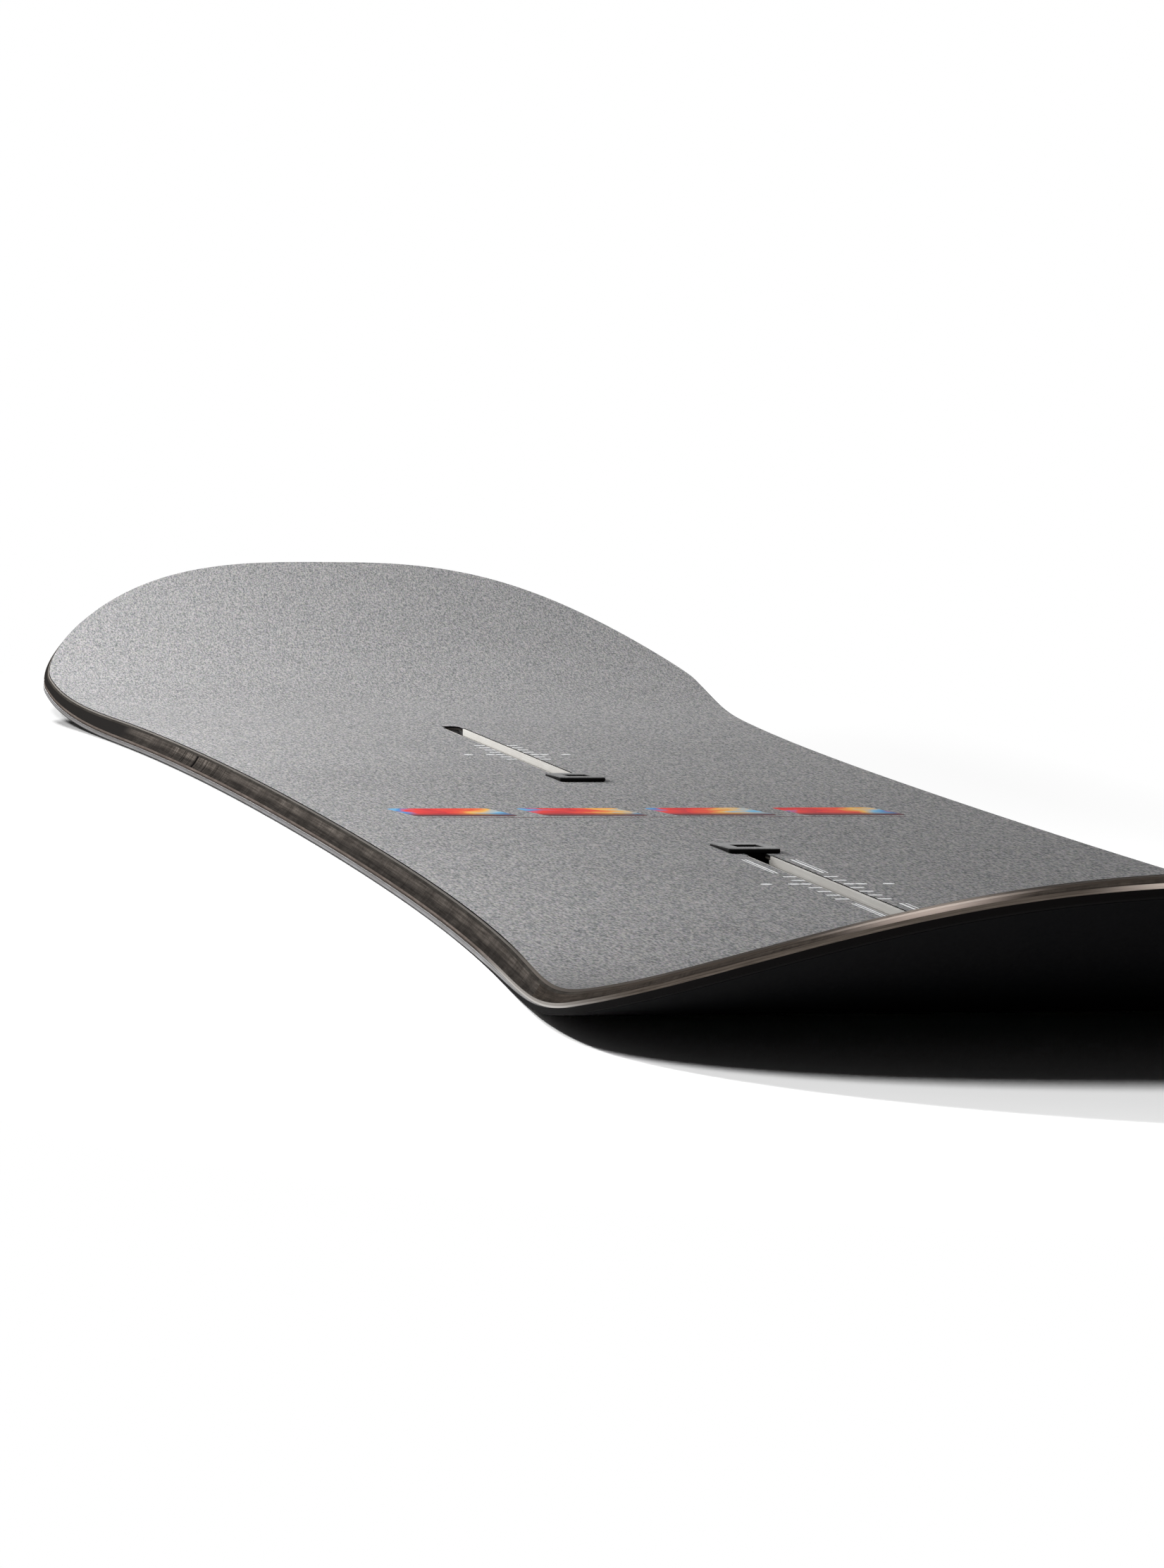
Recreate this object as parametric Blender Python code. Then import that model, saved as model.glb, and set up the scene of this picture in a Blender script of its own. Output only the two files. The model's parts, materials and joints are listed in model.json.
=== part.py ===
"""A snowboard with two binding slots, built up from its separate layers as it is in the press.

+X runs along the board, +Y across it and +Z up, in metres. The origin is the middle of the base,
on the snow. Every piece takes its place from the outline, the rocker and the stack of layers below.
"""

import bmesh
import bpy
import numpy as np

# Outline of the base, seen from above
LENGTH = 1.639
TIP_LENGTH = 0.171  # from the widest station to the tip
WAIST_WIDTH = 0.2475
WIDEST_WIDTH = 0.2950
WAIST_HANDLE = 0.481  # how far the waist's curve holds its direction
WIDEST_HANDLE = 0.107
TIP_POWER_ALONG = 1.60  # superellipse of the nose and tail
TIP_POWER_ACROSS = 2.90
SIDE_STEP = 0.040  # spacing of the outline's points on the flat middle
TIP_STEP = 0.015  # and where the board curves up

# Side view
TIP_RISE = 0.056
ROCKER_POWER = 2.7
TAPER_LENGTH = 0.260  # the core thins over this length outside the slots

# Layers, from the snow up
BASE_THICKNESS = 0.0012
LAMINATE_THICKNESS = 0.0005
DAMPER_THICKNESS = 0.0003
TOPSHEET_THICKNESS = 0.0006
CORE_THICKNESS = 0.0053
CORE_TIP_THICKNESS = 0.0024
GLUE = 0.0002  # bond line between two layers
JOINT = 0.0003  # butt joint between two pieces end to end

# Steel edge and sidewall, across the rim
EDGE_WIDTH = 0.0019
EDGE_HEIGHT = 0.0019
TANG_WIDTH = 0.0061
TANG_THICKNESS = 0.0005
DAMPER_WIDTH = 0.0080
SIDEWALL_WIDTH = 0.0100
RIM_SETBACK = 0.0003  # what lies on the edge stays this far inside it
SLANT = 0.72  # inward lean of the sidewall for each unit of height
SIDEWALL_SPLICE_AT = -0.292
SPACER_AT = 0.560  # where the core and sidewalls end and the tip spacers start

# Strips of the wood core
CORE_STRIPS_EACH_SIDE = 4
STRIP_WIDTH = 0.028

# Binding slots, measured along the board from its middle
STANCE_AT = 0.280
MOUTH_FROM = -0.137  # from the stance mark to the mouth's inner end
MOUTH_LENGTH = 0.0275
MOUTH_WIDTH = 0.0140
MOUTH_CORNER = 0.002
LEAD_IN = 0.0075  # rounded start of the rail's lips
SLOT_LENGTH = 0.275  # from the mouth to the slot's round end
SLOT_END_RECESS = 0.014  # the last stretch, which has no lips
SLOT_WIDTH = 0.0070
SLOT_SIDES = 12

# Channel in each slot: a floor strip, two rails, a frame round the mouth and an end block
CHANNEL_WIDTH = 0.0200
FLOOR_THICKNESS = 0.0012
RAIL_WALL = 0.0016
CAVITY_HEIGHT = 0.0023  # from the rails' feet to the underside of their lips
RAIL_OVERHANG = 0.0020  # rail left beyond the slot's round end
COLLAR_WALL = 0.0008
COLLAR_DROP = 0.0002  # the collar stays this far below the deck
FRAME_END_WALL = 0.0080
END_BLOCK_LENGTH = 0.006
FLAT_MARGIN = 0.002  # flat board left beyond the end block

# Lift-out rubber cover over each mouth
COVER_HEIGHT = 0.0018
COVER_INNER_OVERHANG = 0.0055
COVER_OUTER_OVERHANG = 0.0013
COVER_SIDE_OVERHANG = 0.0016
COVER_CHAMFER = 0.0006
COVER_CORNER = 0.0018
COVER_CLEARANCE = 0.0003
PLUG_DEPTH = 0.0038
PLUG_TAPER = 0.0004
FINGER_RECESS_LENGTH = 0.010
FINGER_RECESS_WIDTH = 0.009
FINGER_RECESS_DEPTH = 0.0009

# Heights above the underside of the base
TANG_LOW = EDGE_HEIGHT - TANG_THICKNESS
DAMPER_LOW = EDGE_HEIGHT + GLUE
DAMPER_TOP = DAMPER_LOW + DAMPER_THICKNESS
FLANGE_LOW = DAMPER_TOP + GLUE
FLANGE_TOP = FLANGE_LOW + LAMINATE_THICKNESS
WEB_LOW = BASE_THICKNESS + GLUE
WEB_TOP = WEB_LOW + LAMINATE_THICKNESS
CORE_LOW = WEB_TOP + GLUE
SIDEWALL_LOW = FLANGE_TOP + GLUE
CORE_TOP = CORE_LOW + CORE_THICKNESS
UPPER_LOW = GLUE  # from here up, heights are counted from the top of the core
UPPER_TOP = UPPER_LOW + LAMINATE_THICKNESS
SHEET_LOW = UPPER_TOP + GLUE
SHEET_TOP = SHEET_LOW + TOPSHEET_THICKNESS
DECK = CORE_TOP + SHEET_TOP

# Stations along each slot, from the board's middle
MOUTH_INNER = STANCE_AT + MOUTH_FROM
MOUTH_OUTER = MOUTH_INNER + MOUTH_LENGTH
SLOT_END = MOUTH_OUTER + SLOT_LENGTH
LIPS_END = SLOT_END - SLOT_END_RECESS
CHANNEL_INNER = MOUTH_INNER - FRAME_END_WALL
RAIL_INNER = MOUTH_OUTER + GLUE
RAIL_OUTER = SLOT_END + RAIL_OVERHANG
COLLARS_START = RAIL_INNER + LEAD_IN
CHANNEL_OUTER = RAIL_OUTER + GLUE + END_BLOCK_LENGTH
FLAT_HALF = CHANNEL_OUTER + GLUE + FLAT_MARGIN
FLOOR_TOP = CORE_LOW + FLOOR_THICKNESS
RAIL_LOW = FLOOR_TOP + GLUE
CAVITY_TOP = RAIL_LOW + CAVITY_HEIGHT
COLLAR_TOP = DECK - COLLAR_DROP

END_NAMES = {1: "front", -1: "rear"}
SIDE_NAMES = {-1: "left", 1: "right"}

HALF_LENGTH = LENGTH / 2
WIDEST_AT = HALF_LENGTH - TIP_LENGTH


def clear_scene():
    for thing in list(bpy.data.objects):
        bpy.data.objects.remove(thing)


def material(name, colour, roughness, metallic=0.0):
    made = bpy.data.materials.new(name)
    made.use_nodes = True
    shader = made.node_tree.nodes["Principled BSDF"]
    shader.inputs["Base Color"].default_value = (*colour, 1.0)
    shader.inputs["Roughness"].default_value = roughness
    shader.inputs["Metallic"].default_value = metallic
    made.diffuse_color = (*colour, 1.0)
    return made


def new_object(name, bm, finish):
    """Turns a finished bmesh into a named object with its faces pointing out."""
    bmesh.ops.remove_doubles(bm, verts=bm.verts, dist=1e-7)
    bmesh.ops.recalc_face_normals(bm, faces=bm.faces)
    mesh = bpy.data.meshes.new(name)
    bm.to_mesh(mesh)
    bm.free()
    mesh.materials.append(finish)
    mesh.shade_smooth()
    mesh.set_sharp_from_angle(angle=np.radians(25))
    made = bpy.data.objects.new(name, mesh)
    bpy.context.scene.collection.objects.link(made)
    return made


def cutter(name, bm):
    """A cutting solid, which is not a piece of the board."""
    made = new_object(name, bm, material(name, (0.8, 0.1, 0.1), 0.5))
    made.hide_render = True
    made.display_type = "WIRE"
    return made


def cut(target, *tools):
    for tool in tools:
        step = target.modifiers.new(tool.name, "BOOLEAN")
        step.operation = "DIFFERENCE"
        step.solver = "EXACT"
        step.object = tool


def quadrant():
    """The outline from the middle of one side to the tip, finely sampled: points and outward normals."""
    t = np.linspace(0, 1, 400)[:, None]
    waist = np.array([0, WAIST_WIDTH / 2])
    widest = np.array([WIDEST_AT, WIDEST_WIDTH / 2])
    from_waist = waist + [WAIST_HANDLE, 0]
    to_widest = widest - [WIDEST_HANDLE, 0]
    side = (1 - t) ** 3 * waist + 3 * (1 - t) ** 2 * t * from_waist
    side = side + 3 * (1 - t) * t**2 * to_widest + t**3 * widest
    turn = np.linspace(0, np.pi / 2, 2000)[1:]
    along = WIDEST_AT + TIP_LENGTH * np.sin(turn) ** (2 / TIP_POWER_ALONG)
    across = WIDEST_WIDTH / 2 * np.clip(np.cos(turn), 0, 1) ** (2 / TIP_POWER_ACROSS)
    across[-1] = 0
    points = np.vstack([side, np.column_stack([along, across])])
    tangent = np.gradient(points, axis=0)
    normal = np.column_stack([-tangent[:, 1], tangent[:, 0]])
    normal /= np.linalg.norm(normal, axis=1)[:, None]
    normal[0] = (0, 1)
    normal[-1] = (1, 0)
    return points, normal


def half_outline():
    """One side of the board from tail tip to nose tip: evenly spaced points with their normals."""
    points, normal = quadrant()
    run = np.concatenate([[0], np.cumsum(np.linalg.norm(np.diff(points, axis=0), axis=1))])
    bend = run[np.searchsorted(points[:, 0], FLAT_HALF)]
    flat = np.linspace(0, bend, 1 + round(bend / SIDE_STEP))
    tip = np.linspace(bend, run[-1], 1 + round((run[-1] - bend) / TIP_STEP))
    at = np.concatenate([flat, tip[1:]])
    nose = [np.interp(at, run, column) for column in (*points.T, *normal.T)]
    nose = np.column_stack(nose)
    tail = nose[:0:-1] * [-1, 1, -1, 1]
    return np.vstack([tail, nose])


OUTLINE = half_outline()


def rocker(x):
    """Height of the underside of the base."""
    outside = np.clip((np.abs(x) - FLAT_HALF) / (HALF_LENGTH - FLAT_HALF), 0, None)
    return TIP_RISE * outside**ROCKER_POWER


def core_thickness(x):
    thin = np.clip((np.abs(x) - FLAT_HALF) / TAPER_LENGTH, 0, 1)
    thin = thin * thin * (3 - 2 * thin)
    return CORE_THICKNESS + (CORE_TIP_THICKNESS - CORE_THICKNESS) * thin


def above_base(height):
    return lambda x: rocker(x) + height


def above_core(height):
    return lambda x: rocker(x) + CORE_LOW + core_thickness(x) + height


def inside(distance):
    return lambda x: distance


def flank(level):
    """Distance inside the rim at which the leaning side of the board meets a level."""
    return lambda x: RIM_SETBACK + SLANT * (level(x) - rocker(x) - FLANGE_TOP)


def rim_points(inset, level):
    """One side of the board's rim, tail to nose, set in by a distance and lifted to a level."""
    x, y, nx, ny = OUTLINE.T
    depth = inset(x) * np.ones_like(x)
    px = x - depth * nx
    py = y - depth * ny
    py[[0, -1]] = 0
    return np.column_stack([px, py, level(px)])


def closed_rim(bm, inset, level):
    right = rim_points(inset, level)
    left = right[-2:0:-1] * [1, -1, 1]
    return [bm.verts.new(p) for p in np.vstack([right, left])]


def join_loops(bm, first, second):
    count = len(first)
    for i in range(count):
        j = (i + 1) % count
        bm.faces.new((first[i], first[j], second[j], second[i]))


def fill_rim(bm, loop):
    """Closes a rim with strips that run across the board, so that each one stays flat."""
    last = len(OUTLINE) - 1
    count = len(loop)
    for i in range(last):
        corners = [loop[i], loop[i + 1], loop[(count - i - 1) % count], loop[(count - i) % count]]
        bm.faces.new(list(dict.fromkeys(corners)))


def full_layer(name, finish, *corners):
    """A layer over the whole board. Its corners run from the lower panel's rim out and up to the upper's."""
    bm = bmesh.new()
    loops = [closed_rim(bm, inset, level) for inset, level in corners]
    for first, second in zip(loops, loops[1:]):
        join_loops(bm, first, second)
    fill_rim(bm, loops[0])
    fill_rim(bm, loops[-1])
    return name, bm, finish


def trim(bm, point, normal):
    """Cuts off what lies beyond a plane and closes the cut."""
    everything = bm.verts[:] + bm.edges[:] + bm.faces[:]
    bmesh.ops.recalc_face_normals(bm, faces=bm.faces)
    bmesh.ops.bisect_plane(
        bm, geom=everything, dist=1e-7, plane_co=point, plane_no=normal, clear_outer=True
    )
    open_edges = [edge for edge in bm.edges if edge.is_boundary]
    bmesh.ops.holes_fill(bm, edges=open_edges)


def rim_sweep(corners, side):
    """A bar of constant section along one side of the board, from tail tip to nose tip."""
    bm = bmesh.new()
    rails = [rim_points(inset, level) * [1, side, 1] for inset, level in corners]
    sections = [[bm.verts.new(rail[i]) for rail in rails] for i in range(len(OUTLINE))]
    for first, second in zip(sections, sections[1:]):
        join_loops(bm, first, second)
    bm.faces.new(sections[0])
    bm.faces.new(sections[-1])
    return bm


def add_base(finish):
    inner = inside(EDGE_WIDTH + GLUE)
    corners = ((inner, above_base(0)), (inner, above_base(BASE_THICKNESS)))
    new_object(*full_layer("base_sheet", finish, *corners))


def add_steel_edges(finish):
    """Rolled edge: a square bead at the rim and a thin tang that reaches in over the base."""
    outer = inside(0)
    bead = inside(EDGE_WIDTH)
    tang = inside(EDGE_WIDTH + TANG_WIDTH)
    corners = (
        (outer, above_base(0)),
        (outer, above_base(EDGE_HEIGHT)),
        (tang, above_base(EDGE_HEIGHT)),
        (tang, above_base(TANG_LOW)),
        (bead, above_base(TANG_LOW)),
        (bead, above_base(0)),
    )
    for side, side_name in SIDE_NAMES.items():
        bm = rim_sweep(corners, side)
        trim(bm, (0, side * JOINT / 2, 0), (0, -side, 0))
        new_object(f"steel_edge_{side_name}", bm, finish)


def add_edge_dampers(finish):
    """Rubber foil between the steel edge and the laminate above it."""
    outer = inside(RIM_SETBACK)
    inner = inside(RIM_SETBACK + DAMPER_WIDTH)
    low = above_base(DAMPER_LOW)
    top = above_base(DAMPER_TOP)
    corners = ((outer, low), (outer, top), (inner, top), (inner, low))
    for side, side_name in SIDE_NAMES.items():
        bm = rim_sweep(corners, side)
        trim(bm, (0, side * JOINT / 2, 0), (0, -side, 0))
        new_object(f"edge_damper_{side_name}", bm, finish)


def add_lower_laminate(finish):
    """Glass cloth over the base, joggled up at the rim so that it passes over the edge's tang."""
    outer = inside(RIM_SETBACK)
    step_low = inside(RIM_SETBACK + DAMPER_WIDTH + GLUE)
    step_top = inside(RIM_SETBACK + DAMPER_WIDTH + GLUE + LAMINATE_THICKNESS)
    corners = (
        (step_low, above_base(WEB_LOW)),
        (step_low, above_base(FLANGE_LOW)),
        (outer, above_base(FLANGE_LOW)),
        (outer, above_base(FLANGE_TOP)),
        (step_top, above_base(FLANGE_TOP)),
        (step_top, above_base(WEB_TOP)),
    )
    new_object(*full_layer("lower_laminate", finish, *corners))


def add_upper_laminate(finish, slots):
    low = above_core(UPPER_LOW)
    top = above_core(UPPER_TOP)
    layer = new_object(*full_layer("upper_laminate", finish, (flank(low), low), (flank(top), top)))
    cut(layer, *slots)


def add_topsheet(finish, slots):
    low = above_core(SHEET_LOW)
    top = above_core(SHEET_TOP)
    layer = new_object(*full_layer("topsheet", finish, (flank(low), low), (flank(top), top)))
    cut(layer, *slots)


def add_sidewalls(finish):
    """Plastic sidewalls with a leaning outer face, each spliced from a long and a short length."""
    low = above_base(SIDEWALL_LOW)
    top = above_core(0)
    inner = inside(SIDEWALL_WIDTH)
    corners = ((flank(low), low), (flank(top), top), (inner, top), (inner, low))
    ends = {
        "rear": (-SPACER_AT, SIDEWALL_SPLICE_AT),
        "front": (SIDEWALL_SPLICE_AT, SPACER_AT),
    }
    for side, side_name in SIDE_NAMES.items():
        for end_name, (start, stop) in ends.items():
            bm = rim_sweep(corners, side)
            trim(bm, (start + JOINT / 2, 0, 0), (-1, 0, 0))
            trim(bm, (stop - JOINT / 2, 0, 0), (1, 0, 0))
            new_object(f"sidewall_{side_name}_{end_name}", bm, finish)


def add_tip_spacers(finish):
    """Spacers that carry the core's layer on round the nose and the tail."""
    top = above_core(0)
    seat = inside(SIDEWALL_WIDTH + GLUE)
    low = above_base(SIDEWALL_LOW)
    corners = (
        (seat, above_base(CORE_LOW)),
        (seat, low),
        (flank(low), low),
        (flank(top), top),
    )
    for name, end in (("tip_spacer_nose", 1), ("tip_spacer_tail", -1)):
        _, bm, _ = full_layer(name, finish, *corners)
        trim(bm, (end * (SPACER_AT + JOINT / 2), 0, 0), (-end, 0, 0))
        new_object(name, bm, finish)


def core_edge():
    """The stations of the core and its half width at each, just inside the sidewalls."""
    rim = rim_points(inside(SIDEWALL_WIDTH + GLUE), above_base(0))
    stop = SPACER_AT - JOINT / 2
    within = rim[np.abs(rim[:, 0]) < stop - 0.001]
    x = np.concatenate([[-stop], within[:, 0], [stop]])
    return x, np.interp(x, rim[:, 0], rim[:, 1])


def core_strip(inner, outer):
    """One lath of the core, between two distances from the board's centreline."""
    bm = bmesh.new()
    stations, edge = core_edge()
    low = above_base(CORE_LOW)
    top = above_core(0)
    sections = []
    for x, limit in zip(stations, edge):
        y_in = np.sign(inner) * min(abs(inner), limit)
        y_out = np.sign(outer) * min(abs(outer), limit)
        corners = ((y_in, low), (y_out, low), (y_out, top), (y_in, top))
        sections.append([bm.verts.new((x, y, level(x))) for y, level in corners])
    for first, second in zip(sections, sections[1:]):
        join_loops(bm, first, second)
    bm.faces.new(sections[0])
    bm.faces.new(sections[-1])
    return bm


def add_core(finish):
    """Laths side by side. The middle one is in three lengths, with the two channels between them."""
    half = CHANNEL_WIDTH / 2
    middle = core_strip(-half, half)
    for end in (1, -1):
        trim(middle, (end * (CHANNEL_INNER - GLUE), 0, 0), (end, 0, 0))
        outer = core_strip(-half, half)
        trim(outer, (end * (CHANNEL_OUTER + GLUE), 0, 0), (-end, 0, 0))
        new_object(f"core_strip_centre_{END_NAMES[end]}", outer, finish)
    new_object("core_strip_centre_middle", middle, finish)
    for side, side_name in SIDE_NAMES.items():
        for number in range(CORE_STRIPS_EACH_SIDE):
            inner = half + GLUE + number * STRIP_WIDTH
            outer = half + (number + 1) * STRIP_WIDTH
            if number == CORE_STRIPS_EACH_SIDE - 1:
                outer = WIDEST_WIDTH
            name = f"core_strip_{side_name}_{number + 1}"
            new_object(name, core_strip(side * inner, side * outer), finish)


def arc(centre, radius, start, stop, count):
    angles = np.radians(np.linspace(start, stop, count))
    return [(centre[0] + radius * np.cos(a), centre[1] + radius * np.sin(a)) for a in angles]


def prism(outline, low, high):
    """An upright solid on a flat outline of (x, y) points."""
    bm = bmesh.new()
    face = bm.faces.new([bm.verts.new((x, y, low)) for x, y in outline])
    grown = bmesh.ops.extrude_face_region(bm, geom=[face])
    lifted = [item for item in grown["geom"] if isinstance(item, bmesh.types.BMVert)]
    bmesh.ops.translate(bm, verts=lifted, vec=(0, 0, high - low))
    bmesh.ops.recalc_face_normals(bm, faces=bm.faces)
    return bm


def turned(bm, end):
    """Swings a solid modelled at the nose end round to the end it is for."""
    if end < 0:
        bmesh.ops.scale(bm, verts=bm.verts, vec=(-1, 1, 1))
        bmesh.ops.reverse_faces(bm, faces=bm.faces)
    return bm


def slot_hole(end):
    """The hole through the topsheet and the laminate under it: mouth, neck, slot and round end."""
    mouth = MOUTH_WIDTH / 2
    slot = SLOT_WIDTH / 2
    beside_collar = slot + COLLAR_WALL + GLUE
    corner = (MOUTH_INNER + MOUTH_CORNER, mouth - MOUTH_CORNER)
    half = arc(corner, MOUTH_CORNER, 180, 90, 4)
    half += [(MOUTH_OUTER, mouth), (MOUTH_OUTER, slot)]
    half += [(COLLARS_START - GLUE, slot), (COLLARS_START - GLUE, beside_collar)]
    half += [(LIPS_END + GLUE, beside_collar), (LIPS_END + GLUE, slot)]
    half += arc((SLOT_END - slot, 0), slot, 90, 0, SLOT_SIDES // 2)
    plan = half + [(x, -y) for x, y in half[-2::-1]]
    name = f"slot_hole_{END_NAMES[end]}"
    return cutter(name, turned(prism(plan, CORE_LOW, DECK + COVER_HEIGHT), end))


def box(x_low, x_high, y_half, z_low, z_high):
    corners = [(x_low, -y_half), (x_high, -y_half), (x_high, y_half), (x_low, y_half)]
    return prism(corners, z_low, z_high)


def add_channel_floor(end, finish):
    """Thin strip on the lower laminate, which the rails, the frame and the end block stand on."""
    strip = box(CHANNEL_INNER, CHANNEL_OUTER, CHANNEL_WIDTH / 2, CORE_LOW, FLOOR_TOP)
    new_object(f"slot_floor_{END_NAMES[end]}", turned(strip, end), finish)


def rail_section(side):
    """One rail's section: a wall with a lip over the cavity and a collar that rises to the deck."""
    half = CHANNEL_WIDTH / 2
    cavity = half - RAIL_WALL
    lip = SLOT_WIDTH / 2
    collar = lip + COLLAR_WALL
    outer = [(half, RAIL_LOW), (half, CORE_TOP), (collar, CORE_TOP), (collar, COLLAR_TOP)]
    inner = [(lip, COLLAR_TOP), (lip, CAVITY_TOP), (cavity, CAVITY_TOP), (cavity, RAIL_LOW)]
    return [(side * y, z) for y, z in outer + inner]


def lead_in_cutter(end):
    """Rounds the start of the lips, where nuts slide in from the mouth."""
    slot = SLOT_WIDTH / 2
    depth = MOUTH_WIDTH / 2 - slot
    half = [(MOUTH_OUTER, MOUTH_WIDTH / 2)]
    for angle in np.radians(np.linspace(90, 0, 7)):
        x = RAIL_INNER + LEAD_IN * (1 - np.sin(angle))
        half.append((x, MOUTH_WIDTH / 2 - depth * np.cos(angle)))
    plan = half + [(x, -y) for x, y in reversed(half)]
    name = f"lead_in_cutter_{END_NAMES[end]}"
    return cutter(name, turned(prism(plan, CAVITY_TOP, DECK), end))


def collar_cutter(end):
    """Takes the collars off the rounded start of the lips, under the neck of the hole."""
    wide = SLOT_WIDTH / 2 + COLLAR_WALL + GLUE
    name = f"collar_cutter_{END_NAMES[end]}"
    return cutter(name, turned(box(MOUTH_OUTER, COLLARS_START, wide, CORE_TOP, DECK), end))


def end_cutter(end):
    """Takes the lips and collars off the last stretch of the rails."""
    wide = CHANNEL_WIDTH / 2 - RAIL_WALL
    name = f"end_cutter_{END_NAMES[end]}"
    return cutter(name, turned(box(LIPS_END, RAIL_OUTER + GLUE, wide, CAVITY_TOP, DECK), end))


def add_rails(end, finish):
    """The two rails of a slot, which face each other across it."""
    tools = lead_in_cutter(end), collar_cutter(end), end_cutter(end)
    for side, side_name in SIDE_NAMES.items():
        bm = bmesh.new()
        face = bm.faces.new([bm.verts.new((RAIL_INNER, y, z)) for y, z in rail_section(side)])
        grown = bmesh.ops.extrude_face_region(bm, geom=[face])
        moved = [item for item in grown["geom"] if isinstance(item, bmesh.types.BMVert)]
        bmesh.ops.translate(bm, verts=moved, vec=(RAIL_OUTER - RAIL_INNER, 0, 0))
        bmesh.ops.recalc_face_normals(bm, faces=bm.faces)
        name = f"slot_rail_{side_name}_{END_NAMES[end]}"
        cut(new_object(name, turned(bm, end), finish), *tools)


def add_mouth_frame(end, finish):
    """Frame round three sides of the mouth, which closes the channel's inner end."""
    half = CHANNEL_WIDTH / 2
    mouth = MOUTH_WIDTH / 2
    corner = (MOUTH_INNER + MOUTH_CORNER, mouth - MOUTH_CORNER)
    plan = [(CHANNEL_INNER, half), (MOUTH_OUTER, half), (MOUTH_OUTER, mouth)]
    plan += arc(corner, MOUTH_CORNER, 90, 180, 4)
    plan += [(x, -y) for x, y in reversed(plan)]
    bm = prism(plan, FLOOR_TOP + GLUE, CORE_TOP)
    new_object(f"slot_mouth_frame_{END_NAMES[end]}", turned(bm, end), finish)


def ramp_cutter(end):
    """Hollows a slanted recess in the end block, under the slot's round end."""
    bm = box(LIPS_END, SLOT_END, SLOT_WIDTH / 2, CAVITY_TOP, DECK)
    for vert in bm.verts:
        if vert.co.x > SLOT_END - GLUE and vert.co.z < CAVITY_TOP + GLUE:
            vert.co.z = CORE_TOP + GLUE
    return cutter(f"ramp_cutter_{END_NAMES[end]}", turned(bm, end))


def add_end_block(end, finish):
    """Plug at the channel's outer end, between the rails, with a ramp up to the slot's round end."""
    half = CHANNEL_WIDTH / 2
    tenon = half - RAIL_WALL - GLUE
    start = LIPS_END + GLUE
    shoulder = RAIL_OUTER + GLUE
    plan = [(start, -tenon), (shoulder, -tenon), (shoulder, -half), (CHANNEL_OUTER, -half)]
    plan += [(x, -y) for x, y in reversed(plan)]
    bm = prism(plan, FLOOR_TOP + GLUE, CORE_TOP)
    block = new_object(f"slot_end_block_{END_NAMES[end]}", turned(bm, end), finish)
    cut(block, ramp_cutter(end))


def rounded_box_plan(x_low, x_high, y_half, corner):
    plan = arc((x_high - corner, y_half - corner), corner, 0, 90, 4)
    plan += arc((x_low + corner, y_half - corner), corner, 90, 180, 4)
    plan += arc((x_low + corner, corner - y_half), corner, 180, 270, 4)
    plan += arc((x_high - corner, corner - y_half), corner, 270, 360, 4)
    return plan


def add_cover(end, finish):
    """Rubber cover: a plate on the deck, a tapered plug in the mouth and a recess to pry it by."""
    x_low = MOUTH_INNER - COVER_INNER_OVERHANG
    x_high = MOUTH_OUTER + COVER_OUTER_OVERHANG
    y_half = MOUTH_WIDTH / 2 + COVER_SIDE_OVERHANG
    seat = DECK + GLUE
    top = seat + COVER_HEIGHT
    plug_y = MOUTH_WIDTH / 2 - COVER_CLEARANCE
    loops = [
        (MOUTH_INNER + COVER_CLEARANCE + PLUG_TAPER, MOUTH_OUTER - COVER_CLEARANCE - PLUG_TAPER,
         plug_y - PLUG_TAPER, MOUTH_CORNER, DECK - PLUG_DEPTH),
        (MOUTH_INNER + COVER_CLEARANCE, MOUTH_OUTER - COVER_CLEARANCE, plug_y, MOUTH_CORNER, seat),
        (x_low, x_high, y_half, COVER_CORNER, seat),
        (x_low, x_high, y_half, COVER_CORNER, top - COVER_CHAMFER),
        (x_low + COVER_CHAMFER, x_high - COVER_CHAMFER, y_half - COVER_CHAMFER,
         COVER_CORNER - COVER_CHAMFER, top),
    ]
    bm = bmesh.new()
    rings = []
    for x_from, x_to, half, corner, z in loops:
        plan = rounded_box_plan(x_from, x_to, half, corner)
        rings.append([bm.verts.new((x, y, z)) for x, y in plan])
    for first, second in zip(rings, rings[1:]):
        join_loops(bm, first, second)
    bm.faces.new(rings[0])
    bm.faces.new(rings[-1])
    cover = new_object(f"slot_cover_{END_NAMES[end]}", turned(bm, end), finish)
    middle = (x_low + x_high) / 2
    finger = box(
        middle - FINGER_RECESS_LENGTH / 2, middle + FINGER_RECESS_LENGTH / 2,
        FINGER_RECESS_WIDTH / 2, top - FINGER_RECESS_DEPTH, top + COVER_HEIGHT,
    )
    cut(cover, cutter(f"finger_cutter_{END_NAMES[end]}", turned(finger, end)))


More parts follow.
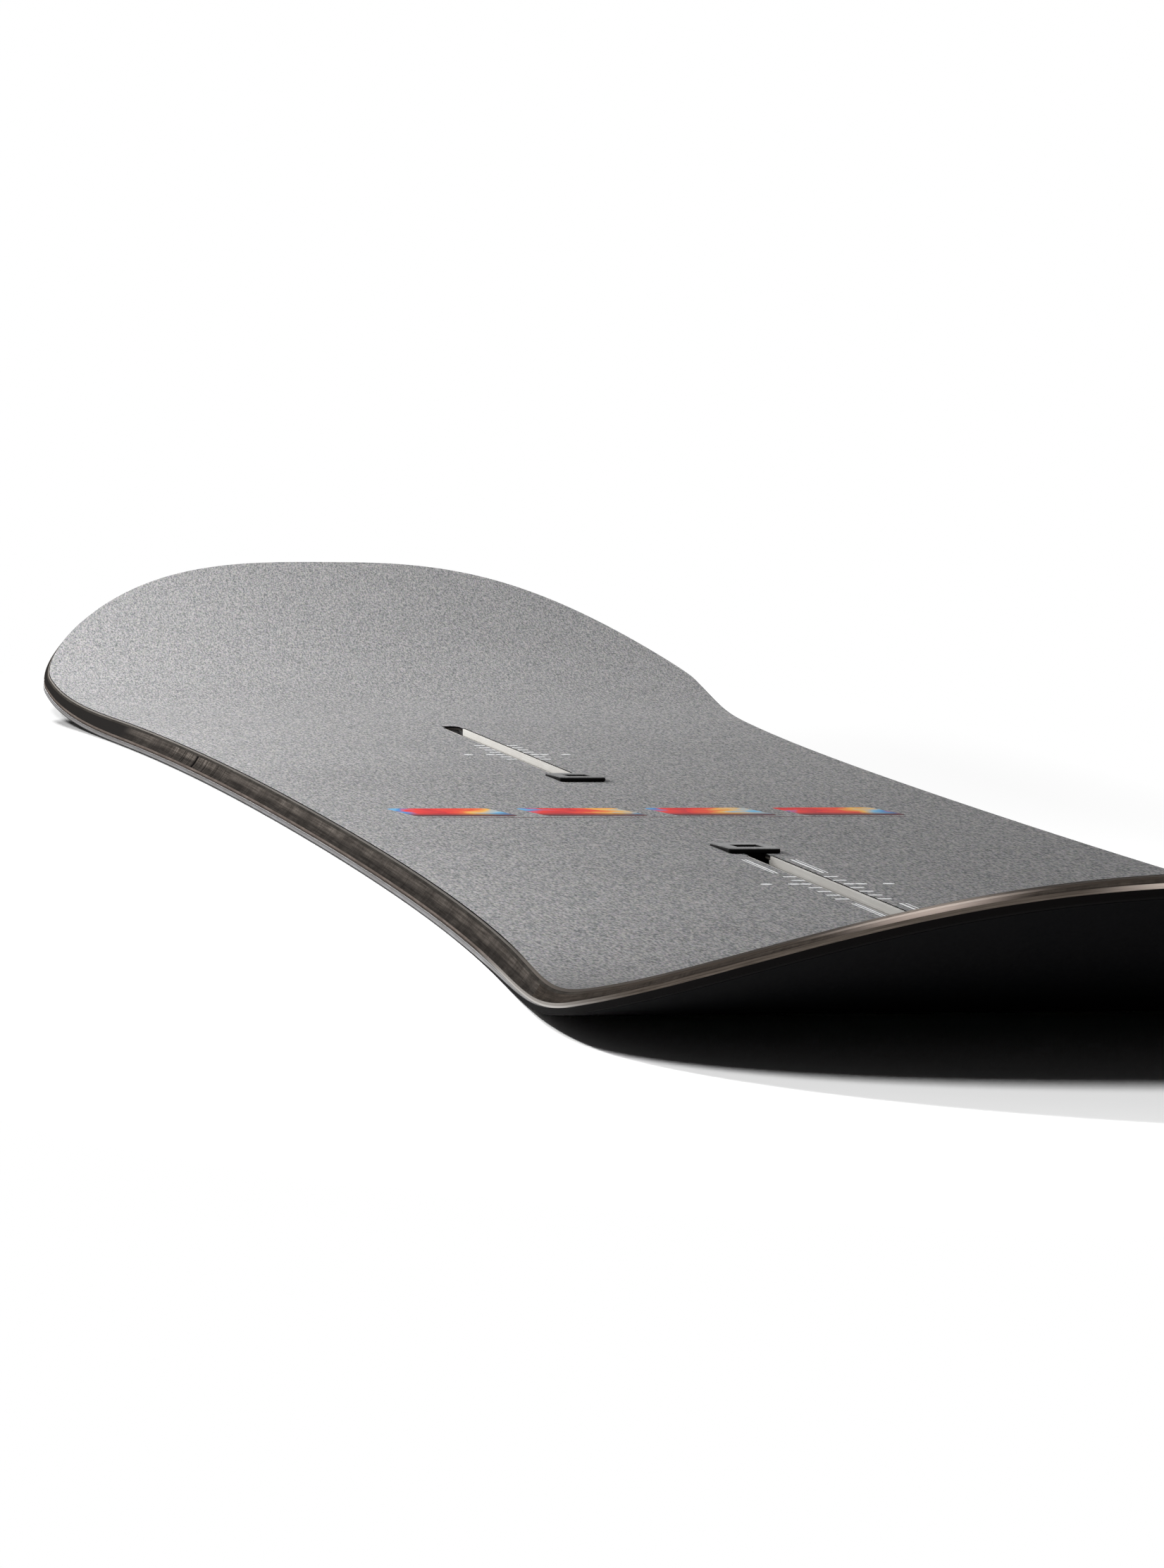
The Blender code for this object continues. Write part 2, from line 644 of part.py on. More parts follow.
def build():
    clear_scene()
    holes = [slot_hole(end) for end in END_NAMES]
    add_base(material("base_black", (0.012, 0.012, 0.014), 0.35))
    add_steel_edges(material("edge_steel", (0.62, 0.63, 0.65), 0.3, 1.0))
    add_edge_dampers(material("damper_rubber", (0.10, 0.07, 0.045), 0.8))
    add_lower_laminate(material("lower_glass", (0.30, 0.27, 0.20), 0.5))
    add_core(material("core_wood", (0.62, 0.45, 0.27), 0.7))
    add_sidewalls(material("sidewall_plastic", (0.085, 0.078, 0.072), 0.5))
    add_tip_spacers(material("spacer_plastic", (0.10, 0.088, 0.078), 0.5))
    add_upper_laminate(material("upper_glass", (0.35, 0.33, 0.28), 0.5), holes)
    add_topsheet(material("topsheet_grey", (0.22, 0.22, 0.23), 0.55), holes)
    floor_finish = material("floor_composite", (0.30, 0.28, 0.26), 0.5)
    rail_finish = material("rail_composite", (0.52, 0.49, 0.45), 0.5)
    block_finish = material("block_plastic", (0.03, 0.03, 0.03), 0.6)
    cover_finish = material("cover_rubber", (0.02, 0.02, 0.02), 0.6)
    for end in END_NAMES:
        add_channel_floor(end, floor_finish)
        add_rails(end, rail_finish)
        add_mouth_frame(end, block_finish)
        add_end_block(end, block_finish)
        add_cover(end, cover_finish)


build()
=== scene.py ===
# %% [markdown]
# # A slotted snowboard, dressed for a studio picture
#
# The board is already there as a imported model, in metres, with +X towards the nose and +Z up.
# This lesson puts a camera and a pale floor round it, lays finer pieces over its rough ones, and
# gives each piece the finish that it has on a real board. Nothing that is added here may make the
# board bigger than it is.

import json
import math
from contextlib import contextmanager

import bmesh
import bpy
import numpy as np
from mathutils import Matrix, Vector

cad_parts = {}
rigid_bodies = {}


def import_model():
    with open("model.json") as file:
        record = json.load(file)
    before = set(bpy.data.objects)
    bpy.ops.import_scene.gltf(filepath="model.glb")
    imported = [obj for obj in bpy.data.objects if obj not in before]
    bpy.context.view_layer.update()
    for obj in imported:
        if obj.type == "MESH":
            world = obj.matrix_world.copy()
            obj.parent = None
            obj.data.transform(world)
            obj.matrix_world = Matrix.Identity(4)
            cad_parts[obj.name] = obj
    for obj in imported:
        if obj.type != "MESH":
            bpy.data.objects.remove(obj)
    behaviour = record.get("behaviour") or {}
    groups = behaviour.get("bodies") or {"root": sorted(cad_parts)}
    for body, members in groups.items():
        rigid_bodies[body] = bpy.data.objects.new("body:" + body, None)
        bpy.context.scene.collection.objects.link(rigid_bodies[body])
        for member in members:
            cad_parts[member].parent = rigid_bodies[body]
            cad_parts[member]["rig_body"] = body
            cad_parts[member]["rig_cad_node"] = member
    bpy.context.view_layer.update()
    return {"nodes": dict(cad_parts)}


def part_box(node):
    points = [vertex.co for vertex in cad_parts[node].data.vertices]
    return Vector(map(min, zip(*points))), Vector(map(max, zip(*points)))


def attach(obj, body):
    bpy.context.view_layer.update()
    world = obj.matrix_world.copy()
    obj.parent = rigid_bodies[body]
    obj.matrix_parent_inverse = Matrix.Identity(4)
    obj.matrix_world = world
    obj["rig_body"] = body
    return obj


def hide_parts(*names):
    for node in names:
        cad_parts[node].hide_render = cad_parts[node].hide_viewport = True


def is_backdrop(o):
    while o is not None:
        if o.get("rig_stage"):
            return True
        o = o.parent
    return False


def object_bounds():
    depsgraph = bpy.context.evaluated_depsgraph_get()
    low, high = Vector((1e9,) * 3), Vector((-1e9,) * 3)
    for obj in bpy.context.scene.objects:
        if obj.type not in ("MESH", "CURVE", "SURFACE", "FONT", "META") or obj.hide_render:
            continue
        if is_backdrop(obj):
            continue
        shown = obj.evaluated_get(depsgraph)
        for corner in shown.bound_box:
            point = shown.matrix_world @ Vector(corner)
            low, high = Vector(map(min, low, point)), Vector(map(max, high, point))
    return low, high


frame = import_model()

# %% [markdown]
# ## The camera
#
# The picture is taken from low down near the nose, with a long lens. A camera can be aimed with a
# constraint or by its angles. Here its angles were worked out from the outline and from the rows
# of marks, so they are set as they are: which way it looks, how far down, and a slight roll.

# %% Camera
CAMERA_AT = Vector((2.313104, -0.454284, 0.195601))
YAW = math.radians(10.48998)
PITCH = math.radians(4.29994)
ROLL = math.radians(0.69197)
LENS = 154.74
SENSOR_WIDTH = 36


def add(operator, name, **settings):
    """Runs an add operator with nothing selected, and names what it made."""
    bpy.ops.object.select_all(action="DESELECT")
    operator(**settings)
    made = bpy.context.object
    made.name = made.data.name = name
    return made


def aim():
    """The camera's place and turn as one matrix: right, up and backwards are its columns."""
    level = math.cos(PITCH)
    ahead = Vector((-math.cos(YAW) * level, math.sin(YAW) * level, -math.sin(PITCH)))
    right = ahead.cross(Vector((0, 0, 1))).normalized()
    up = right.cross(ahead)
    rolled_right = math.cos(ROLL) * right + math.sin(ROLL) * up
    rolled_up = math.cos(ROLL) * up - math.sin(ROLL) * right
    turn = Matrix((rolled_right, rolled_up, -ahead)).transposed()
    return Matrix.Translation(CAMERA_AT) @ turn.to_4x4()


camera = add(bpy.ops.object.camera_add, "camera")
camera.data.lens = LENS
camera.data.sensor_width = SENSOR_WIDTH
camera.data.clip_start = 0.05
camera.data.clip_end = 60
camera.matrix_world = aim()
bpy.context.scene.camera = camera
print("camera lens", round(camera.data.lens, 2), "mm")

# %% [markdown]
# ## The shape of the board
#
# Three curves give a board its shape. The outline is narrow at the waist, wide near the ends and
# round at the tips. The rocker lifts the tips. The taper thins the core towards them. The model
# was built from the same curves in coarse steps, so the finer pieces follow it when they repeat
# the curves with small steps. All lengths are in metres.

# %% The three curves
LENGTH = 1.639
TIP_LENGTH = 0.171
WAIST_WIDTH = 0.2475
WIDEST_WIDTH = 0.2950
WAIST_HANDLE = 0.481
WIDEST_HANDLE = 0.107
TIP_POWER_ALONG = 1.60
TIP_POWER_ACROSS = 2.90
TIP_RISE = 0.056
ROCKER_POWER = 2.7
TAPER_LENGTH = 0.260
FLAT_HALF = 0.4559
CORE_LOW = 0.0021
CORE_THICKNESS = 0.0053
CORE_TIP_THICKNESS = 0.0024
DECK = 0.0089
SIDE_STEP = 0.012
TIP_STEP = 0.004
SIDE_SAMPLES = 400
TIP_SAMPLES = 2000
CLOSEST_STATIONS = 5e-4
HALF_LENGTH = LENGTH / 2
WIDEST_AT = HALF_LENGTH - TIP_LENGTH


def rocker(x):
    """Height of the underside above the floor."""
    outside = np.clip((np.abs(x) - FLAT_HALF) / (HALF_LENGTH - FLAT_HALF), 0, None)
    return TIP_RISE * outside**ROCKER_POWER


def core_thickness(x):
    thin = np.clip((np.abs(x) - FLAT_HALF) / TAPER_LENGTH, 0, 1)
    thin = thin * thin * (3 - 2 * thin)
    return CORE_THICKNESS + (CORE_TIP_THICKNESS - CORE_THICKNESS) * thin


def above_base(height):
    return lambda x: rocker(x) + height


def above_core(height):
    return lambda x: rocker(x) + CORE_LOW + core_thickness(x) + height


def quarter_outline():
    """The outline from the middle of one side to the nose, with its outward normals."""
    t = np.linspace(0, 1, SIDE_SAMPLES)[:, None]
    waist = np.array([0, WAIST_WIDTH / 2])
    widest = np.array([WIDEST_AT, WIDEST_WIDTH / 2])
    side = (1 - t) ** 3 * waist + 3 * (1 - t) ** 2 * t * (waist + [WAIST_HANDLE, 0])
    side = side + 3 * (1 - t) * t**2 * (widest - [WIDEST_HANDLE, 0]) + t**3 * widest
    turn = np.linspace(0, np.pi / 2, TIP_SAMPLES)[1:]
    along = WIDEST_AT + TIP_LENGTH * np.sin(turn) ** (2 / TIP_POWER_ALONG)
    across = WIDEST_WIDTH / 2 * np.clip(np.cos(turn), 0, 1) ** (2 / TIP_POWER_ACROSS)
    across[-1] = 0
    points = np.vstack([side, np.column_stack([along, across])])
    tangent = np.gradient(points, axis=0)
    normal = np.column_stack([-tangent[:, 1], tangent[:, 0]])
    normal /= np.linalg.norm(normal, axis=1)[:, None]
    normal[0] = (0, 1)
    normal[-1] = (1, 0)
    return points, normal


def distances(points):
    """How far along a line each of its points lies."""
    return np.concatenate([[0], np.cumsum(np.linalg.norm(np.diff(points, axis=0), axis=1))])


def stations(x_from=-1.0, x_to=1.0):
    """One side of the board from tail to nose, as rows of x, y and the outward normal."""
    points, normal = quarter_outline()
    run = distances(points)
    bend = run[np.searchsorted(points[:, 0], FLAT_HALF)]
    flat = np.linspace(0, bend, 1 + round(bend / SIDE_STEP))
    tip = np.linspace(bend, run[-1], 1 + round((run[-1] - bend) / TIP_STEP))
    at = np.concatenate([flat, tip[1:]])
    nose = np.column_stack([np.interp(at, run, column) for column in (*points.T, *normal.T)])
    rows = np.vstack([nose[:0:-1] * [-1, 1, -1, 1], nose])
    ends = [x for x in (x_from, x_to) if abs(x) < HALF_LENGTH]
    added = [[x] + [np.interp(x, rows[:, 0], column) for column in rows.T[1:]] for x in ends]
    inside = rows[(rows[:, 0] > x_from + CLOSEST_STATIONS) & (rows[:, 0] < x_to - CLOSEST_STATIONS)]
    return np.array(sorted(inside.tolist() + added, key=lambda row: row[0]))


print("stations along one side:", len(stations()))

# %% [markdown]
# ## Helpers for working as by hand
#
# Every layer of a board is a long section pushed along the outline. It could be drawn as a curve
# with a bevel, but a curve's section turns with its path, and these sections must stay upright.
# So a flat grid is added, wrapped round the lines that the section's corners run along, and
# closed. Before an operator is used, one piece alone is selected, and in edit mode all of it is.

# %% Select one piece, edit it, and wrap a grid
MERGE_BELOW = 2e-6


def only(piece):
    """Leaves one object selected and active."""
    bpy.ops.object.select_all(action="DESELECT")
    piece.select_set(True)
    bpy.context.view_layer.objects.active = piece


@contextmanager
def editing(piece):
    """Edit mode on one piece with all of it selected, and object mode again afterwards."""
    only(piece)
    bpy.ops.object.mode_set(mode="EDIT")
    bpy.ops.mesh.select_all(action="SELECT")
    yield
    bpy.ops.object.mode_set(mode="OBJECT")


def rail_line(rows, inset, level, side=1):
    """The line along the rim at a distance inside it and at a level. Side is 1 right, -1 left."""
    x, y, nx, ny = rows.T
    depth = inset(x) if callable(inset) else inset
    px = x - depth * nx
    py = np.where(np.abs(np.abs(x) - HALF_LENGTH) < 1e-6, 0, y - depth * ny)
    return np.column_stack([px, side * py, level(px)])


def wrap_grid(name, rails):
    """A closed skin whose grid lines lie on the rails. Its UV map is in metres along and round."""
    rails = np.asarray(rails)
    around, along = rails.shape[:2]
    piece = add(bpy.ops.mesh.primitive_grid_add, name,
                x_subdivisions=along - 1, y_subdivisions=around, size=1)
    mesh = piece.data
    flat = np.array([vert.co[:] for vert in mesh.vertices])
    i = np.rint((flat[:, 0] + 0.5) * (along - 1)).astype(int)
    j = np.rint((flat[:, 1] + 0.5) * around).astype(int) % around
    mesh.vertices.foreach_set("co", rails[j, i].ravel())
    run = distances(rails[0])
    girth = distances(np.vstack([rails[:, along // 2], rails[:1, along // 2]]))
    for loop in mesh.uv_layers.active.data:
        u, v = loop.uv
        loop.uv = (run[round(u * (along - 1))], girth[round(v * around)])
    with editing(piece):
        bpy.ops.mesh.remove_doubles(threshold=MERGE_BELOW)
        bpy.ops.mesh.fill_holes(sides=0)
        bpy.ops.mesh.normals_make_consistent(inside=False)
    return piece


# %% [markdown]
# Sharp edges give a model away, because every real edge catches a little light. The next helpers
# round the edges that a test picks out, with the bevel operator, and smooth what is left.

# %% Round the edges that a test picks
SHARP = math.radians(25)


def bevel_edges(piece, wanted, width, segments=2):
    """Rounds the sharp edges for which wanted says yes, and tells how many they were."""
    count = 0
    with editing(piece):
        bpy.ops.mesh.select_mode(type="EDGE")
        bpy.ops.mesh.select_all(action="DESELECT")
        bm = bmesh.from_edit_mesh(piece.data)
        for edge in bm.edges:
            if len(edge.link_faces) == 2 and edge.calc_face_angle() > SHARP and wanted(edge):
                edge.select_set(True)
                count += 1
        bmesh.update_edit_mesh(piece.data)
        if count:
            bpy.ops.mesh.bevel(offset=width, segments=segments, profile=0.5, affect="EDGES")
    return count


def apply_modifier(piece, kind, **settings):
    """Adds a modifier to a piece, sets it up and applies it."""
    step = piece.modifiers.new(kind.lower(), kind)
    for setting, value in settings.items():
        setattr(step, setting, value)
    only(piece)
    bpy.ops.object.modifier_apply(modifier=step.name)


def smooth(piece, degrees=35):
    """Smooth shading that leaves large flat faces flat, however small those beside them are."""
    only(piece)
    bpy.ops.object.shade_smooth_by_angle(angle=math.radians(degrees))
    apply_modifier(piece, "WEIGHTED_NORMAL", keep_sharp=True)


def upright(edge, more_than):
    """Whether an edge rises by more than a length."""
    return abs(edge.verts[0].co.z - edge.verts[1].co.z) > more_than


finished = {}


def dress(piece, finish, slot, *nodes, body="board"):
    """Gives a piece its finish and body, lists it by slot, hides the nodes that it stands for."""
    finished.setdefault(slot, []).append(piece)
    piece.data.materials.clear()
    piece.data.materials.append(finish)
    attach(piece, body)
    if nodes:
        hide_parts(*nodes)
    print(piece.name, len(piece.data.polygons), "faces")


# %% [markdown]
# ## Helpers for finishes
#
# A finish is a network of nodes that ends in one Principled shader. Patterns are made from noise
# in the object's own coordinates, so they stay on the piece when it moves. Colours are written as
# they look on a screen, from 0 to 255, and are turned into light values here. Each small helper
# adds one node and gives back its result, so that a finish can be read as a recipe.

# %% Nodes, tones and new finishes
def tone(red, green, blue):
    """A screen colour as the light values that a shader needs."""
    light = [c / 255 / 12.92 if c <= 10 else ((c / 255 + 0.055) / 1.055) ** 2.4
             for c in (red, green, blue)]
    return (*light, 1.0)


def feed(tree, node, inputs):
    """Links sockets to a node's inputs, or writes plain values into them."""
    for socket, value in inputs.items():
        if isinstance(value, bpy.types.NodeSocket):
            tree.links.new(value, node.inputs[socket])
        else:
            node.inputs[socket].default_value = value
    return node


def add_node(tree, kind, inputs=None, **settings):
    """Adds a node and gives back its outputs."""
    made = tree.nodes.new("ShaderNode" + kind)
    for setting, value in settings.items():
        setattr(made, setting, value)
    return feed(tree, made, inputs or {}).outputs


def calc(tree, operation, *values, clamp=False):
    """One sum on one to three values."""
    inputs = dict(enumerate(values))
    return add_node(tree, "Math", inputs, operation=operation, use_clamp=clamp)[0]


def rescale(tree, value, low, high, to_low=0.0, to_high=1.0, kind="LINEAR"):
    """Spreads the values between low and high over 0 to 1, or over another range."""
    inputs = {"Value": value, "From Min": low, "From Max": high, "To Min": to_low,
              "To Max": to_high}
    return add_node(tree, "MapRange", inputs, interpolation_type=kind)[0]


def blend(tree, share, one, other, kind="MIX"):
    """A colour between two others: the first at a share of 0, the second at 1."""
    inputs = {"Fac": share, "Color1": one, "Color2": other}
    return add_node(tree, "MixRGB", inputs, blend_type=kind)[0]


def blend_values(tree, share, one, other):
    return add_node(tree, "Mix", {0: share, 2: one, 3: other})[0]


def blend_shaders(tree, share, one, other):
    return add_node(tree, "MixShader", {0: share, 1: one, 2: other})[0]


def coordinates(tree, kind="Object"):
    return add_node(tree, "TexCoord")[kind]


def axis(tree, name, place):
    return add_node(tree, "SeparateXYZ", {"Vector": place})[name]


def relief(tree, height, strength, distance):
    inputs = {"Strength": strength, "Distance": distance, "Height": height}
    return add_node(tree, "Bump", inputs)[0]


def new_finish(name, roughness, metallic=0.0, specular=0.5):
    """An empty finish: its node tree and its Principled shader, with the plain values set."""
    made = bpy.data.materials.new(name)
    made.use_nodes = True
    shader = feed(made.node_tree, made.node_tree.nodes["Principled BSDF"], {
        "Roughness": roughness, "Metallic": metallic, "Specular IOR Level": specular})
    return made, made.node_tree, shader


def new_group(name, inputs, outputs):
    """An empty node group, with what comes into it and the node that its results go to."""
    group = bpy.data.node_groups.new(name, "ShaderNodeTree")
    for socket, (kind, value) in inputs.items():
        made = group.interface.new_socket(name=socket, in_out="INPUT",
                                          socket_type="NodeSocket" + kind)
        if value is not None:
            made.default_value = value
    for socket, kind in outputs.items():
        group.interface.new_socket(name=socket, in_out="OUTPUT", socket_type="NodeSocket" + kind)
    return group, group.nodes.new("NodeGroupInput").outputs, group.nodes.new("NodeGroupOutput")


# %% [markdown]
# ## Effects that several finishes share
#
# Fine grain is the salt-and-pepper look of a textured film or of ground plastic. Drawn lines run
# along a piece, as on milled plastic, ground steel or pultruded glass. Patches are the large soft
# areas where wear, dust or handling has changed the tone. A fourth group changes a tone past a
# place along the board: some layers take another tone near the ends, and it also paints
# highlights where the tip bends up and a dark reflection on the steel round the nose. A fifth
# paints a highlight on the layers at the nose, paler on both sides of its middle. Each is built
# once as a group, and a helper after it places it with the sizes that a finish wants.

# %% Fine grain
def contrasted(tree, value, contrast):
    """Drives a noise away from its middle value, one half."""
    centred = calc(tree, "SUBTRACT", value, 0.5)
    return calc(tree, "MULTIPLY_ADD", centred, contrast, 0.5, clamp=True)


grain, given, result = new_group(
    "fine_grain",
    {"Vector": ("Vector", None), "Scale": ("Float", 1500.0), "Contrast": ("Float", 1.0)},
    {"Mask": "Float", "Tint": "Color"},
)
spots = add_node(grain, "TexNoise", {"Vector": given["Vector"], "Scale": given["Scale"],
                                     "Detail": 1.5, "Roughness": 0.6})
feed(grain, result, {"Mask": contrasted(grain, spots["Fac"], given["Contrast"]),
                     "Tint": spots["Color"]})


def grained(tree, place, scale, contrast):
    """The grain's mask and its tint."""
    inputs = {"Vector": place, "Scale": scale, "Contrast": contrast}
    return add_node(tree, "Group", inputs, node_tree=grain)


# %% Drawn lines
lines, given, result = new_group(
    "drawn_lines",
    {"Vector": ("Vector", None), "Along": ("Float", 8.0), "Across": ("Float", 900.0),
     "Contrast": ("Float", 1.5)},
    {"Mask": "Float"},
)
stretch = add_node(lines, "CombineXYZ", {"X": given["Along"], "Y": given["Across"],
                                         "Z": given["Across"]})[0]
stretched = add_node(lines, "VectorMath", {0: given["Vector"], 1: stretch},
                     operation="MULTIPLY")[0]
streaks = add_node(lines, "TexNoise", {"Vector": stretched, "Scale": 1.0, "Detail": 3.0,
                                       "Roughness": 0.65})
feed(lines, result, {"Mask": contrasted(lines, streaks["Fac"], given["Contrast"])})


def drawn_lines(tree, place, along, across, contrast):
    inputs = {"Vector": place, "Along": along, "Across": across, "Contrast": contrast}
    return add_node(tree, "Group", inputs, node_tree=lines)["Mask"]


# %% Patches
patches, given, result = new_group(
    "patches",
    {"Vector": ("Vector", None), "Scale": ("Float", 20.0), "Low": ("Float", 0.4),
     "High": ("Float", 0.6)},
    {"Mask": "Float"},
)
clouds = add_node(patches, "TexNoise", {"Vector": given["Vector"], "Scale": given["Scale"],
                                        "Detail": 4.0, "Roughness": 0.55, "Distortion": 0.4})
feed(patches, result, {"Mask": rescale(patches, clouds["Fac"], given["Low"], given["High"])})


def soft_patches(tree, place, scale, low, high):
    inputs = {"Vector": place, "Scale": scale, "Low": low, "High": high}
    return add_node(tree, "Group", inputs, node_tree=patches)["Mask"]


# %% Another tone past a place along the board
end_tone, given, result = new_group(
    "end_tone",
    {"Color": ("Color", None), "End Color": ("Color", None), "Start": ("Float", 0.70),
     "Full": ("Float", 0.74), "Offset": ("Float", 0.0)},
    {"Color": "Color", "Mask": "Float"},
)
moved = calc(end_tone, "ADD", axis(end_tone, "X", coordinates(end_tone)), given["Offset"])
reach = rescale(end_tone, moved, given["Start"], given["Full"], kind="SMOOTHSTEP")
feed(end_tone, result, {"Color": blend(end_tone, reach, given["Color"], given["End Color"]),
                        "Mask": reach})


def turned(tree, colour, end_colour, start, full, offset=0.0):
    """A colour that turns into another between two places, and the mask of where it has."""
    inputs = {"Color": colour, "End Color": end_colour, "Start": start, "Full": full,
              "Offset": offset}
    return add_node(tree, "Group", inputs, node_tree=end_tone)


# %% Painted highlights beside the nose
HIGHLIGHT_FROM, HIGHLIGHT_FULL = 0.72, 0.76
HIGHLIGHT_AT = 0.089

# Painted highlight: the layers turn paler near the nose, on both sides of its middle.
highlight_group, given, result = new_group(
    "painted_nose_highlight",
    {"Color": ("Color", None), "Pale": ("Color", None), "Centre": ("Float", HIGHLIGHT_AT),
     "Reach": ("Float", 0.028)},
    {"Color": "Color"},
)
place = coordinates(highlight_group)
aside = calc(highlight_group, "ABSOLUTE", axis(highlight_group, "Y", place))
away = calc(highlight_group, "ABSOLUTE", calc(highlight_group, "SUBTRACT", aside, given["Centre"]))
near = rescale(highlight_group, away, given["Reach"], 0.0, kind="SMOOTHSTEP")
ahead = rescale(highlight_group, axis(highlight_group, "X", place), HIGHLIGHT_FROM, HIGHLIGHT_FULL)
both = calc(highlight_group, "MULTIPLY", near, ahead)
feed(highlight_group, result, {"Color": blend(highlight_group, both, given["Color"], given["Pale"])})


# Lays the painted highlight over a colour.
def painted_highlight(tree, colour, pale, centre=HIGHLIGHT_AT, reach=0.028):
    inputs = {"Color": colour, "Pale": pale, "Centre": centre, "Reach": reach}
    return add_node(tree, "Group", inputs, node_tree=highlight_group)["Color"]


print("groups", [group.name for group in bpy.data.node_groups])

# %% [markdown]
# ## The deck
#
# The topsheet is a matte grey film with a fine sparkle of lighter and darker specks, slightly
# violet and slightly warm in turn. One noise would look like fog, so a coarse grain carries a
# fine one, and the noise's own colour tints the specks. The same grain gives a faint relief.

# %% Finish of the topsheet
SPECKS_DRAWN_OUT = (0.22, 1.0, 1.0)


def topsheet_finish():
    finish, tree, shader = new_finish("matte_speckled_film", 0.7, specular=0.0)
    place = coordinates(tree)
    laid = add_node(tree, "Mapping", {"Vector": place, "Scale": SPECKS_DRAWN_OUT})[0]
    fine = grained(tree, laid, 1500.0, 2.6)
    soft = grained(tree, laid, 650.0, 1.3)
    clouds = soft_patches(tree, place, 9.0, 0.3, 0.7)
    both = blend_values(tree, 0.3, fine["Mask"], soft["Mask"])
    specks = blend(tree, both, tone(97, 96, 98), tone(190, 190, 190))
    tinted = blend(tree, 0.16, specks, fine["Tint"], "OVERLAY")
    feed(tree, shader, {"Base Color": blend(tree, 0.05, tinted, clouds, "SOFT_LIGHT"),
                        "Normal": relief(tree, fine["Mask"], 0.12, 0.0001)})
    return finish


film = topsheet_finish()

# %% [markdown]
# The topsheet's rim shows the film's dark core where it was rounded, as a thin dark line round
# the deck, and a pale line of resin below it. They are the same piece with two more finishes, on
# the rounding and on the side faces.

# %% Finish of the trimmed rim
def trimmed_rim_finish(name, dark, light):
    finish, tree, shader = new_finish(name, 0.6, specular=0.0)
    drawn = drawn_lines(tree, coordinates(tree, "UV"), 12.0, 3000.0, 2.0)
    worn = blend(tree, drawn, dark, light)
    brown = blend(tree, drawn, tone(84, 79, 75), tone(118, 111, 105))
    nosed = turned(tree, worn, brown, 0.42, 0.56)["Color"]
    # Painted highlight at the nose.
    feed(tree, shader, {"Base Color": painted_highlight(tree, nosed, tone(200, 186, 176), reach=0.022)})
    return finish


rim_film = trimmed_rim_finish("trimmed_film_rim", tone(14, 14, 14), tone(30, 29, 29))
resin_line = trimmed_rim_finish("pale_resin_line", tone(80, 77, 74), tone(112, 108, 104))

# %% [markdown]
# ## Full layers
#
# The base, the glass cloths and the topsheet cover the whole board. Each is a grid wrapped round
# its rim lines: down the right side, over the panel and down the left side. The leaning flank of
# the board means that a higher rim sits further in.

# %% Full layers
RIM_SETBACK = 0.0003
SLANT = 0.72
FLANGE_TOP = 0.0031
RIM_ROUNDING = 0.0003


def flank(level, extra=0.0):
    """How far inside the rim the leaning side of the board meets a level."""
    return lambda x: RIM_SETBACK + SLANT * (level(x) - rocker(x) - FLANGE_TOP) + extra


def full_layer(name, corners):
    """A layer over the whole board. Its corners run up the rim, as pairs of inset and level."""
    rows = stations()
    right = [rail_line(rows, inset, level, 1) for inset, level in corners]
    left = [rail_line(rows, inset, level, -1) for inset, level in reversed(corners)]
    return wrap_grid(name, right + left)


sheet_low = above_core(0.00075)
sheet_top = above_core(0.0015)


def on_upper_rim(edge):
    spot = edge.verts[0].co
    return abs(spot.y) + abs(spot.x) > 0.1 and spot.z > sheet_low(spot.x) + 0.0005


topsheet = full_layer("deck_topsheet", [(flank(sheet_low), sheet_low),
                                        (flank(sheet_top), sheet_top)])
print("rim edges rounded:", bevel_edges(topsheet, on_upper_rim, RIM_ROUNDING, 3))

# %% [markdown]
# ## The slots through the deck
#
# A slot is a long hole with a wide mouth at one end, where the nuts go in, and a round end at the
# other. It could be drawn in one outline, but simple solids joined by Booleans are easier to
# check: a bar for the slot, a wider bar beside the collars, a cylinder for the end, and a block
# with rounded corners for the mouth. Both holes are cut by the same four tools.

# %% Slot tools
SLOT_WIDTH = 0.007
MOUTH_WIDTH = 0.014
MOUTH_INNER = 0.143
MOUTH_OUTER = 0.1705
MOUTH_CORNER = 0.002
COLLARS_START = 0.1782
LIPS_END = 0.4315
SLOT_END = 0.4455
COLLAR_WALL = 0.0008
GLUE = 0.0002
TOOL_LOW, TOOL_HIGH = 0.004, 0.012
HOLE_ROUNDING = 0.00012


def block(name, end, x_from, x_to, y_half):
    """A box tool from a cube, scaled in edit mode so that its object stays unscaled."""
    tool = add(bpy.ops.mesh.primitive_cube_add, name, size=1, location=(0, 0, 0))
    low, high = sorted((end * x_from, end * x_to))
    with editing(tool):
        bpy.ops.transform.resize(value=(high - low, 2 * y_half, TOOL_HIGH - TOOL_LOW))
        bpy.ops.transform.translate(value=((low + high) / 2, 0, (TOOL_LOW + TOOL_HIGH) / 2))
    return tool


def inner_corner(edge):
    middle = (MOUTH_INNER + MOUTH_OUTER) / 2
    return upright(edge, 0.001) and abs(edge.verts[0].co.x) < middle


